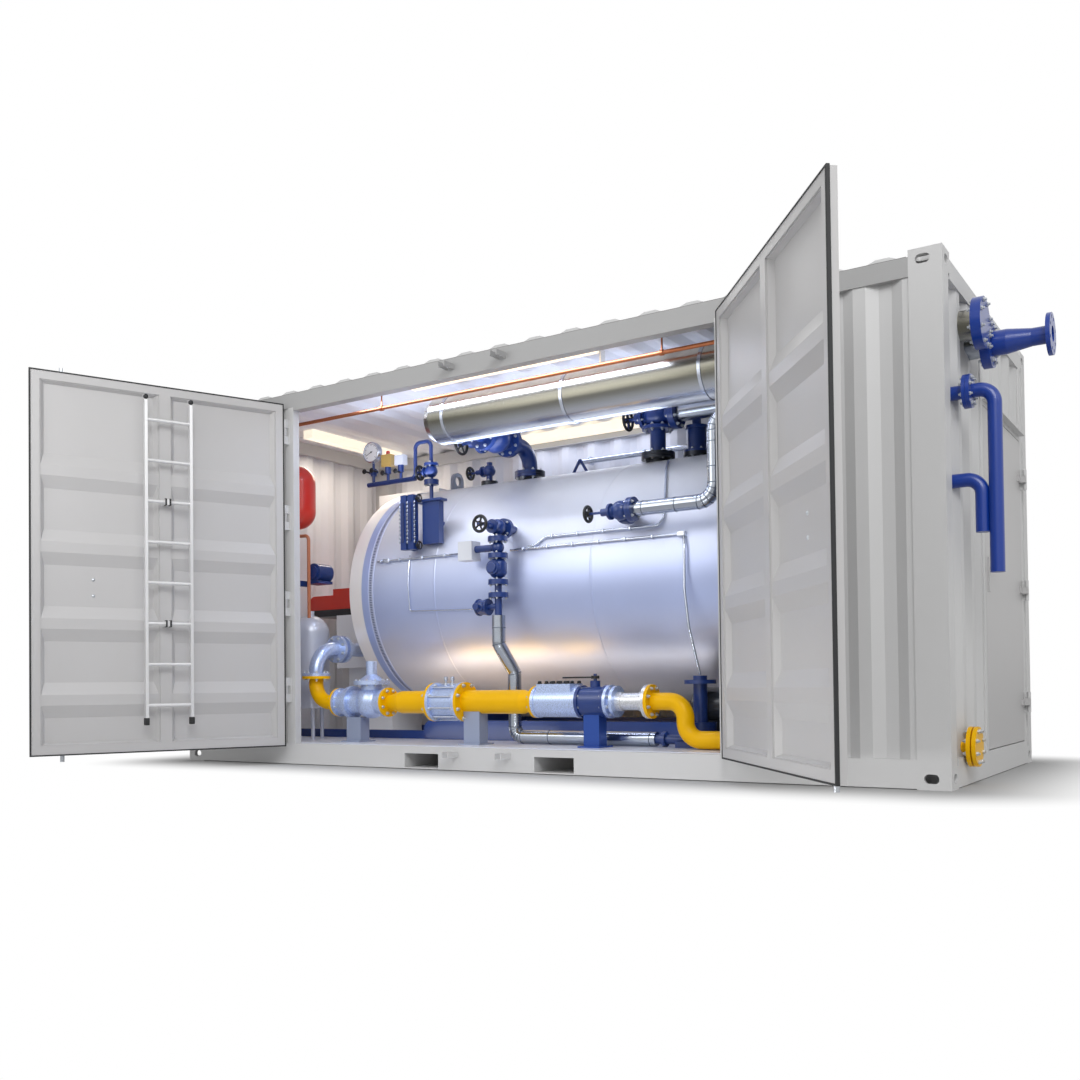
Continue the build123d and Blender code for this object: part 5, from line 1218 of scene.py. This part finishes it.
@dataclass
class ManifoldCocks:
    """Small cocks on the instrument manifold."""

    cocks: tuple[Pair, ...] = ((-1840.0, 2395.0), (-1760.0, 2395.0), (-1640.0, 2360.0), (-1500.0, 2360.0))
    front: float = -372.0
    manifold_y: float = -300.0
    stem: float = 8.0
    grip: float = 22.0
    branch: float = 15.0
    switch_x: float = -1640.0
    switch_top: float = 2521.0

    def build(self) -> None:
        """Build and dress the cocks, the branch between the first two and the switch's cap."""
        places = np.array([[x, self.manifold_y, z] for x, z in self.cocks])
        reach = self.manifold_y - self.front
        stems = rod(self.stem, reach + 8.0).along(TO_FRONT, places)
        ends = places + reach * np.array(TO_FRONT)
        grips = torus(self.grip - 5, 5.0, 24, 8).along(TO_FRONT, ends)
        hubs = rod(self.grip - 8, 10.0).along(TO_FRONT, ends)
        make_piece("manifold_branch", tube(places[:2], self.branch), BLUE)
        make_piece("manifold_cocks", joined([stems, grips, hubs]), BLACK)
        cap = revolved([(0.0, 34.0), (12.0, 34.0), (17.0, 28.0), (17.0, 0.0), (0.0, 0.0)], 20)
        switch = cap.moved([(self.switch_x, self.manifold_y, self.switch_top)])
        make_piece("switch_cap", switch, RED)


@dataclass
class DrainFittings:
    """Check valve's barrel and sampling valve's body in the desalting stack."""

    check_drop: float = 296.0
    barrel: float = 64.5
    cap: float = 52.0
    sample_face: float = -90.0
    sample_axis: float = -130.0
    sample_drop: float = 571.0
    disc: float = 62.0
    body: float = 55.0

    def check_valve(self) -> list[Surface]:
        """Return the barrel round the stack and the stepped cap on its front.

        Returns:
            The barrel and the cap.
        """
        centre = off(DRAIN, z=-self.check_drop)
        half = [(0.0, 70.0), (30.0, 70.0), (46.0, 62.0), (self.barrel - 6, 46.0), (self.barrel, 36.0)]
        whole = half + [(radius, -height) for radius, height in reversed(half)]
        cap = [(0.0, 92.0), (34.0, 92.0), (38.0, 88.0), (38.0, 78.0), (self.cap - 2, 78.0), (self.cap, 75.0),
               (self.cap, 30.0), (0.0, 30.0)]
        return [revolved(whole, 32).at(Z_AXIS, centre), revolved(cap, 28).at(TO_FRONT, centre)]

    def sampling_valve(self) -> list[Surface]:
        """Return the flanged body along x with its gland, and the bonnet on its front.

        Returns:
            The body and the bonnet.
        """
        rim = self.disc - 2
        body = [(0.0, -8.0), (rim, -8.0), (self.disc, -6.0), (self.disc, 6.0), (rim, 8.0), (self.body, 10.0),
                (self.body, 70.0), (rim, 72.0), (self.disc, 74.0), (self.disc, 86.0), (rim, 88.0),
                (34.0, 90.0), (34.0, 110.0), (30.0, 114.0), (14.0, 114.0), (14.0, 130.0), (0.0, 130.0)]
        bonnet = [(0.0, 30.0), (36.0, 30.0), (36.0, 64.0), (30.0, 68.0), (18.0, 70.0), (18.0, 96.0),
                  (24.0, 98.0), (24.0, 108.0), (0.0, 108.0)]
        return [revolved(body, 28).at(TO_LEFT, off(DRAIN, x=self.sample_face, z=-self.sample_drop)),
                revolved(bonnet, 20).at(TO_FRONT, off(DRAIN, x=self.sample_axis, z=-self.sample_drop))]

    def build(self) -> None:
        """Build and dress both valves."""
        make_piece("desalting_check_valve", joined(self.check_valve()), BLUE)
        make_piece("sampling_valve", joined(self.sampling_valve()), BLUE)


@dataclass
class LevelGaugeDetail:
    """Studs, glass strips and cock grips of the two water-level gauges."""

    columns: Pair = (-1099.0, -1025.0)
    front: float = -750.0
    low: float = 1700.0
    high: float = 2002.0
    rows: int = 11
    reach: float = 39.0
    bar: float = 8.0
    bar_back: float = 10.0
    nut_tall: float = 9.0
    strip_out: float = 6.0
    cock_z: Pair = (1670.0, 2032.0)
    cock_back: float = 30.0
    stem_out: float = 24.0
    grip_out: float = 62.0
    grip: float = 28.0

    def cocks(self) -> Surface:
        """Return the cocks beside the right-hand gauge: a stem, a ring grip and the bar across it.

        Returns:
            Both cocks as one surface.
        """
        x = self.columns[1]
        y = self.front + self.cock_back
        parts = []
        for z in self.cock_z:
            parts.append(torus(self.grip, 6.0, 28, 8).at(X_AXIS, (x + self.grip_out, y, z)))
            parts.append(rod(8.0, 40.0).at(X_AXIS, (x + self.stem_out, y, z)))
            parts.append(rod(5.0, 2.0 * self.grip).at(Z_AXIS, (x + self.grip_out, y, z - self.grip)))
        return joined(parts)

    def build(self) -> None:
        """Build and dress the studs, strips and grips."""
        height = np.linspace(self.low, self.high, self.rows)
        x, z = (grid.ravel() for grid in np.meshgrid(np.array(self.columns) - self.reach, height))
        places = np.stack([x, np.full_like(x, self.front + self.bar_back), z], axis=-1)
        make_piece("gauge_bars", rod(self.bar, 2 * self.reach, 10).along(X_AXIS, places), BLUE)
        nut = revolved([(0.0, self.nut_tall), (11.0, self.nut_tall), (13.0, 6.0), (13.0, 0.0), (0.0, 0.0)], 6)
        nuts = [nut.along(X_AXIS, places + step * np.array(X_AXIS))
                for step in (0.0, 2 * self.reach - self.nut_tall)]
        make_piece("gauge_nuts", joined(nuts), STEEL, sharp_deg=25.0)
        middle = (self.low + self.high) / 2
        strip = soft_box((10.0, 4.0, (self.high - self.low) / 2), 0.1)
        glasses = strip.moved([(x, self.front - self.strip_out, middle) for x in self.columns])
        make_piece("gauge_glasses", glasses, HOLES)
        make_piece("gauge_cocks", self.cocks(), BLACK)


@dataclass
class ShellFittings:
    """Sheet seams, vent slots and thin tubes on the boiler's cladding; runs are degrees above the front."""

    seam_x: tuple[float, ...] = (-860.0, 530.0)
    seam_half: float = 8.0
    seam_rise: float = 2.2
    slot_x: float = -1503.0
    slot_half: Pair = (15.0, 3.4)
    slot_count: int = 420
    band_r: float = 903.0
    tube_r: float = 9.0
    tube_out: float = 15.0
    low_run: float = 13.7
    high_run: float = 18.6
    left_run: float = 14.2

    def on_shell(self, x: float, angle_deg: float) -> Triple:
        """Return a point just over the shell.

        With the reach as the shell's radius plus the tube's distance, y is the middle less reach times
        the cosine of the angle, and z the middle plus reach times its sine.

        Args:
            x: place along the boiler.
            angle_deg: angle above the level front.

        Returns:
            The point.
        """
        angle = math.radians(angle_deg)
        reach = BOILER_R + self.tube_out
        return (x, BOILER_Y - reach * math.cos(angle), BOILER_Z + reach * math.sin(angle))

    def seams(self) -> Surface:
        """Return the lapped seams as thin rings round the shell."""
        ring = hoop(BOILER_R - 2.0, BOILER_R + self.seam_rise, self.seam_half, (1.0, 1.5), 160)
        return ring.along(X_AXIS, [(x, BOILER_Y, BOILER_Z) for x in self.seam_x])

    def slots(self) -> Surface:
        """Return the vent slots as small dark lozenges set side by side round the band.

        Returns:
            All slots as one surface.
        """
        slot = revolved([(0.0, 0.6), (1.0, 0.6), (1.0, -1.0), (0.0, -1.0)], 8)
        slot = Surface(slot.points * np.array([*self.slot_half, 1.0]), slot.quads)
        turn = angles(self.slot_count)
        out = np.stack([np.zeros_like(turn), np.cos(turn), np.sin(turn)], axis=-1)
        along = np.broadcast_to(np.array(X_AXIS), out.shape)
        turns = np.stack([along, np.cross(out, along), out], axis=-1)
        return slot.repeated(turns, out * self.band_r + np.array([self.slot_x, BOILER_Y, BOILER_Z]))

    def routes(self) -> list[Array]:
        """Return the middle lines of the cable tubes along the shell.

        Returns:
            One array of points per tube.
        """
        low = [self.on_shell(x, self.low_run) for x in (-150.0, 1240.0)]
        low += [(1258.0, -700.0, 1480.0), (1262.0, -715.0, 1200.0), (1290.0, -715.0, 950.0),
                (1330.0, -640.0, 640.0)]
        climb = ((0.0, 14.6), (60.0, 15.0), (143.0, self.high_run), (1040.0, self.high_run), (1075.0, 22.0),
                 (1062.0, 28.0), (1044.0, 34.0), (1000.0, 44.0), (950.0, 53.0), (900.0, 63.0))
        high = [self.on_shell(x, angle) for x, angle in climb]
        left = [self.on_shell(x, self.left_run) for x in (-1440.0, -690.0)] + [(-488.0, -790.0, 1560.0)]
        return [rounded(low, 30.0), rounded(high, 14.0), rounded(left, 25.0)]

    def clips(self) -> Surface:
        """Return the saddle clips spaced along the level runs and the two larger ones at their ends.

        Returns:
            All clips as one surface.
        """
        places = [self.on_shell(x, self.low_run) for x in np.arange(-40.0, 1200.0, 210.0)]
        places += [self.on_shell(x, self.high_run) for x in np.arange(200.0, 1000.0, 210.0)]
        places += [self.on_shell(x, self.left_run) for x in (-1400.0, -1210.0, -980.0, -760.0)]
        ends = [self.on_shell(1225.0, self.low_run), self.on_shell(-1340.0, self.left_run)]
        return joined([soft_box((7.0, 15.0, 14.0)).moved(places), soft_box((30.0, 17.0, 17.0)).moved(ends)])

    def sensing_line(self) -> Surface:
        """Return the thin line from the level gauge down and along the shell.

        Returns:
            The closed tube.
        """
        bends = ((-1110.0, 16.0), (-1106.0, 8.0), (-1103.0, 0.0), (-1100.0, -11.5), (-430.0, -12.6))
        route = [self.on_shell(x, angle) for x, angle in bends] + [(-340.0, -800.0, 1155.0)]
        return tube(rounded(route, 18.0), 4.5, 8)

    def build(self) -> None:
        """Build and dress the pieces."""
        make_piece("cladding_seams", self.seams(), SHELL)
        make_piece("vent_band_slots", self.slots(), HOLES, sharp_deg=20.0)
        tubes = joined([tube(route, self.tube_r) for route in self.routes()])
        make_piece("cable_tubes", tubes, STEEL)
        make_piece("cable_tube_clips", self.clips(), STEEL)
        make_piece("sensing_line", self.sensing_line(), STEEL)


@dataclass
class LaggingBands:
    """Lap bands on the lagged pipes and the gores of their bends."""

    lag_r: float = 48.0
    rise: float = 2.0
    half: float = 3.5
    gores: int = 6
    straight: tuple[tuple[Triple, Triple], ...] = (
        ((1010.0, -790.0, 1748.0), X_AXIS), ((1250.0, -790.0, 1748.0), X_AXIS),
        ((1521.0, -790.0, 1960.0), Z_AXIS), ((1521.0, -790.0, 2120.0), Z_AXIS),
        ((-170.0, -800.0, 1000.0), Z_AXIS), ((-105.0, -700.0, 520.0), Z_AXIS),
        ((200.0, -700.0, 217.0), X_AXIS), ((620.0, -700.0, 217.0), X_AXIS), ((1000.0, -700.0, 217.0), X_AXIS),
        ((-170.0, -800.0, 888.0), (0.16, 0.24, -1.0)), ((-105.0, -700.0, 672.0), (0.16, 0.24, -1.0)))
    bends: tuple[tuple[Triple, Triple, Triple, float], ...] = (
        ((1411.0, -790.0, 1858.0), DOWN, X_AXIS, 110.0),
        ((1631.0, -790.0, 2190.0), TO_LEFT, Z_AXIS, 110.0),
        ((-35.0, -700.0, 287.0), TO_LEFT, DOWN, 70.0))

    def bend(self, centre: Triple, start: Triple, end: Triple, radius: float) -> tuple[Array, Array]:
        """Return places and directions of the bands on a quarter bend.

        A place is centre plus radius times (start cos a plus end sin a); its direction is the slope of that.

        Args:
            centre: centre of the bend's arc.
            start: direction from the centre to the bend's start.
            end: direction from the centre to its end.
            radius: radius of the bend's middle line.

        Returns:
            Places and directions, one row per band.
        """
        a = np.linspace(0.0, np.pi / 2, self.gores)[:, None]
        first, last = np.array(start), np.array(end)
        return (np.array(centre) + radius * (first * np.cos(a) + last * np.sin(a)),
                last * np.cos(a) - first * np.sin(a))

    def build(self) -> None:
        """Build and dress the bands."""
        inner = self.lag_r - 1.0
        outer = self.lag_r + self.rise
        band = revolved([(inner, -self.half), (outer, 1 - self.half), (outer, self.half - 1),
                         (inner, self.half)], 28, ring=True)
        runs = [tuple(np.array(column, float) for column in zip(*self.straight))]
        runs += [self.bend(*bend) for bend in self.bends]
        places, ways = (np.concatenate(column) for column in zip(*runs))
        make_piece("lagging_bands", band.repeated(axis_frames(ways), places), SWAGE)


@dataclass
class UpperFittings:
    """Header straps, level-box lid, lifting bracket and the tube along the back wall."""

    strap_x: tuple[float, ...] = (-560.0, 466.0, 1492.0)
    header_r: float = 175.0
    strap_half: float = 12.0
    strap_rise: float = 6.0
    lid_at: Triple = (-878.0, -652.0, 2014.0)
    lid_half: Triple = (104.0, 44.0, 10.0)
    bracket_x: float = -85.0
    bracket_half: float = 70.0
    bracket_tall: float = 120.0
    run_x: Pair = (-640.0, 1750.0)
    run_y: float = 1118.0
    run_z: float = 2572.0
    run_r: float = 24.0
    saddle_in: float = 120.0
    saddle_back: float = 14.0

    def straps(self) -> Surface:
        """Return the bright straps round the header."""
        strap = hoop(self.header_r - 1.0, self.header_r + self.strap_rise, self.strap_half, (1.5, 1.5), 64)
        return strap.along(X_AXIS, [(x, HEADER_Y, HEADER_Z) for x in self.strap_x])

    def bracket(self) -> Surface:
        """Return the lifting bracket: a bent bar over a foot plate on the boiler's crown.

        Returns:
            The bar and its plate.
        """
        foot = BOILER_TOP + 4.0
        bend = rounded([(self.bracket_x - self.bracket_half, BOILER_Y, foot),
                        (self.bracket_x, BOILER_Y, foot + self.bracket_tall),
                        (self.bracket_x + self.bracket_half, BOILER_Y, foot)], 22.0)
        plate = soft_box((self.bracket_half + 34.0, 50.0, 10.0), 0.15)
        return joined([tube(bend, 12.0), plate.moved([(self.bracket_x, BOILER_Y, foot)])])

    def wall_run(self) -> Surface:
        """Return the tube along the back wall with its saddles.

        Returns:
            The tube and its saddles.
        """
        ends = np.array([[x, self.run_y, self.run_z] for x in self.run_x])
        spots = np.linspace(self.run_x[0] + self.saddle_in, self.run_x[1] - self.saddle_in, 5)
        saddle = soft_box((14.0, 34.0, 34.0))
        saddles = saddle.moved([(x, self.run_y + self.saddle_back, self.run_z) for x in spots])
        return joined([tube(ends, self.run_r, 20), saddles])

    def build(self) -> None:
        """Build and dress the pieces."""
        make_piece("header_straps", self.straps(), STEEL)
        lid = soft_box(self.lid_half, 0.12).moved([self.lid_at])
        make_piece("level_box_lid", lid, BLUE)
        make_piece("lifting_bracket", self.bracket(), BLUE)
        make_piece("back_wall_tube", self.wall_run(), STEEL)


@dataclass(frozen=True)
class Lamp:
    """A soft area lamp: place, aim and size in millimetres, radiant power and light colour."""

    name: str
    at: Triple
    aim: Triple
    size: Pair
    watts: float
    colour: str = PURE_WHITE

    def hang(self) -> None:
        """Put the lamp into the scene, facing its aim."""
        data = bpy.data.lights.new(self.name, "AREA")
        data.shape = "RECTANGLE"
        data.size, data.size_y = (side * MM for side in self.size)
        data.energy = self.watts
        data.color = linear(self.colour)[:3]
        lamp = bpy.data.objects.new(self.name, data)
        lamp.location = tuple(c * MM for c in self.at)
        lamp.rotation_mode = "QUATERNION"
        way = Vector([b - a for a, b in zip(self.at, self.aim)])
        lamp.rotation_quaternion = way.to_track_quat("-Z", "Y")
        bpy.context.scene.collection.objects.link(lamp)


MIDDLE = (0.0, 0.0, 1300.0)
SOFTBOX = (5000.0, 5000.0)
COOL = "#DCE6FF"
WARM = "#FFF1DC"
GOLDEN = "#FFC64E"
LAMPS = (
    # Daylight round the container and in through the doorway
    Lamp("key_softbox", (6500.0, -8500.0, 7500.0), MIDDLE, SOFTBOX, 570.0),
    Lamp("left_softbox", (-4000.0, -9000.0, 6500.0), MIDDLE, SOFTBOX, 90.0),
    Lamp("right_softbox", (10000.0, -3000.0, 6000.0), (2500.0, 0.0, 1400.0), (4000.0, 4000.0), 70.0),
    Lamp("back_softbox", (-6000.0, 8500.0, 6500.0), MIDDLE, SOFTBOX, 420.0),
    Lamp("doorway_softbox", (-1200.0, -4200.0, 2500.0), (-900.0, 0.0, 1500.0), (2200.0, 1500.0), 22.0),
    # The luminaires under the roof
    Lamp("ceiling_front", (-100.0, -1030.0, 2752.0), (-100.0, -700.0, 1000.0), (2600.0, 90.0), 14.0, COOL),
    Lamp("ceiling_left", (-2565.0, 300.0, 2780.0), (-2300.0, 200.0, 500.0), (1150.0, 100.0), 9.0, WARM),
    Lamp("ceiling_back", (-480.0, 1040.0, 2780.0), (-480.0, 700.0, 1000.0), (1500.0, 90.0), 3.5, COOL),
    # Light thrown back by the roof, the floor, the gas line and the ground before the right leaf
    Lamp("roof_bounce", (-300.0, -480.0, 2290.0), (-300.0, -520.0, 2800.0), (2600.0, 300.0), 10.0, COOL),
    Lamp("floor_bounce", (-100.0, -640.0, 200.0), (-100.0, -440.0, 546.0), (2600.0, 240.0), 4.6),
    Lamp("gas_line_bounce", (-420.0, -720.0, 420.0), (-420.0, -560.0, 640.0), (1300.0, 90.0), 2.0, GOLDEN),
    Lamp("leaf_bounce", (1500.0, -3300.0, 60.0), (2350.0, -1950.0, 500.0), (1300.0, 100.0), 7.5),
)


@dataclass
class Studio:
    """Camera, lamps, white floor and surroundings."""

    eye: Triple = (4365.15, -7167.94, 571.15)
    yaw: float = 33.306
    pitch: float = 1.081
    roll: float = -0.666
    lens: float = 36.249
    sensor: float = 36.0
    shift_y: float = 0.1172
    sky_level: float = 0.36
    floor_half: float = 60000.0
    # A painted shadow: within the reach of the base, camera rays see the floor in the darker shade tone
    shade_half: Pair = (2950.0, 1150.0)
    shade_reach: float = 950.0
    shade_tone: float = 0.42
    floor_tone: float = 0.75

    def camera(self) -> None:
        """Set the camera at the photograph's place, angle and lens."""
        data = bpy.data.cameras.new("view")
        data.lens = self.lens
        data.sensor_width = self.sensor
        data.shift_y = self.shift_y
        data.clip_end = 300.0
        camera = bpy.data.objects.new("view", data)
        camera.rotation_mode = "QUATERNION"
        yaw, pitch, roll = (math.radians(a) for a in (self.yaw, self.pitch, self.roll))
        forward = np.array([-math.sin(yaw) * math.cos(pitch), math.cos(yaw) * math.cos(pitch),
                            math.sin(pitch)])
        right = np.array([math.cos(yaw), math.sin(yaw), 0.0])
        up = np.cross(right, forward)
        turned_right = math.cos(roll) * right + math.sin(roll) * up
        turned_up = -math.sin(roll) * right + math.cos(roll) * up
        basis = Matrix(np.stack([turned_right, turned_up, -forward], axis=1).tolist())
        camera.rotation_quaternion = basis.to_quaternion()
        camera.location = tuple(c * MM for c in self.eye)
        bpy.context.scene.collection.objects.link(camera)
        bpy.context.scene.camera = camera

    def world(self) -> None:
        """Light from all round at a plain level; camera and mirror rays see white."""
        world = bpy.data.worlds.new("studio")
        bpy.context.scene.world = world
        world.use_nodes = True
        tree = world.node_tree
        tree.nodes.clear()
        path = add_node(tree, "ShaderNodeLightPath")
        seen = path.outputs["Is Camera Ray"]
        for ray in ("Is Glossy Ray", "Is Transmission Ray"):
            seen = add_node(tree, "ShaderNodeMath", {"operation": "MAXIMUM"},
                            {0: seen, 1: path.outputs[ray]}).outputs[0]
        level = add_node(tree, "ShaderNodeMapRange", None,
                         {"Value": seen, "To Min": self.sky_level, "To Max": 1.0})
        sky = add_node(tree, "ShaderNodeBackground", None,
                       {"Color": linear(PURE_WHITE), "Strength": level.outputs["Result"]})
        add_node(tree, "ShaderNodeOutputWorld", None, {"Surface": sky.outputs[0]})

    def beyond(self, tree: Tree) -> Socket:
        """Return how far a floor point lies beyond the container's base, from 0 at its edge to 1.

        The distance is the length of what |x| and |y| exceed the half sizes by.

        Args:
            tree: the floor's node tree.

        Returns:
            The share socket.
        """
        origin = (0.0, 0.0, 0.0)
        half = (self.shade_half[0] * MM, self.shade_half[1] * MM, 0.0)
        point = add_node(tree, "ShaderNodeTexCoord").outputs["Object"]
        for operation, other in (("ABSOLUTE", origin), ("SUBTRACT", half), ("MAXIMUM", origin)):
            point = add_node(tree, "ShaderNodeVectorMath", {"operation": operation},
                             {0: point, 1: other}).outputs[0]
        reach = add_node(tree, "ShaderNodeVectorMath", {"operation": "LENGTH"}, {0: point})
        return add_node(tree, "ShaderNodeMapRange", {"interpolation_type": "SMOOTHSTEP"},
                        {"Value": reach.outputs["Value"], "From Min": 0.0,
                         "From Max": self.shade_reach * MM}).outputs["Result"]

    def floor(self) -> None:
        """Lay a white floor: camera rays see it darker near the object, a painted shadow over its own shadow,
        fading to pure white.
        """
        half = self.floor_half * MM
        mesh = bpy.data.meshes.new("floor")
        mesh.from_pydata([(-half, -half, 0.0), (half, -half, 0.0), (half, half, 0.0), (-half, half, 0.0)], [],
                         [(0, 1, 2, 3)])
        floor = bpy.data.objects.new("floor", mesh)
        bpy.context.scene.collection.objects.link(floor)
        material = bpy.data.materials.new("white_studio_floor")
        material.use_nodes = True
        tree = material.node_tree
        tree.nodes.clear()
        seen = add_node(tree, "ShaderNodeLightPath").outputs["Is Camera Ray"]
        # Painted shadow: camera rays see the floor near the base in the darker shade tone
        tone = add_node(tree, "ShaderNodeMapRange", None,
                        {"Value": seen, "To Min": self.floor_tone, "To Max": self.shade_tone})
        paint = add_node(tree, "ShaderNodeBsdfDiffuse", None, {"Color": tone.outputs["Result"]})
        share = add_node(tree, "ShaderNodeMath", {"operation": "MULTIPLY"}, {0: self.beyond(tree), 1: seen})
        white = add_node(tree, "ShaderNodeEmission", None, {"Color": linear(PURE_WHITE), "Strength": 1.0})
        mix = add_node(tree, "ShaderNodeMixShader", None,
                       {0: share.outputs[0], 1: paint.outputs[0], 2: white.outputs[0]})
        add_node(tree, "ShaderNodeOutputMaterial", None, {"Surface": mix.outputs[0]})
        floor.data.materials.append(material)

    def build(self) -> None:
        """Set up everything round the object."""
        bpy.context.scene.view_settings.view_transform = "Standard"
        self.camera()
        self.world()
        self.floor()
        for lamp in LAMPS:
            lamp.hang()
        LOG.info("studio ready")


def main() -> None:
    """Dress the solids, add the finer pieces and set the studio."""
    logging.basicConfig(level=logging.INFO, format="%(name)s: %(message)s")
    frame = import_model()
    dress_nodes(frame["nodes"])
    RoofEnds().build()
    left_leaf = DoorLeaf("left_door", LEFT_OPEN, False)
    left_leaf.build()
    DoorLeaf("right_door", RIGHT_OPEN, True).build()
    LadderEnds(left_leaf).build()
    for handwheel in handwheels():
        handwheel.build()
    FlangeBolts().build()
    GasTrainFittings().build()
    PressureDial().build()
    ManifoldCocks().build()
    DrainFittings().build()
    LevelGaugeDetail().build()
    ShellFittings().build()
    LaggingBands().build()
    UpperFittings().build()
    Studio().build()


if __name__ == "__main__":
    main()
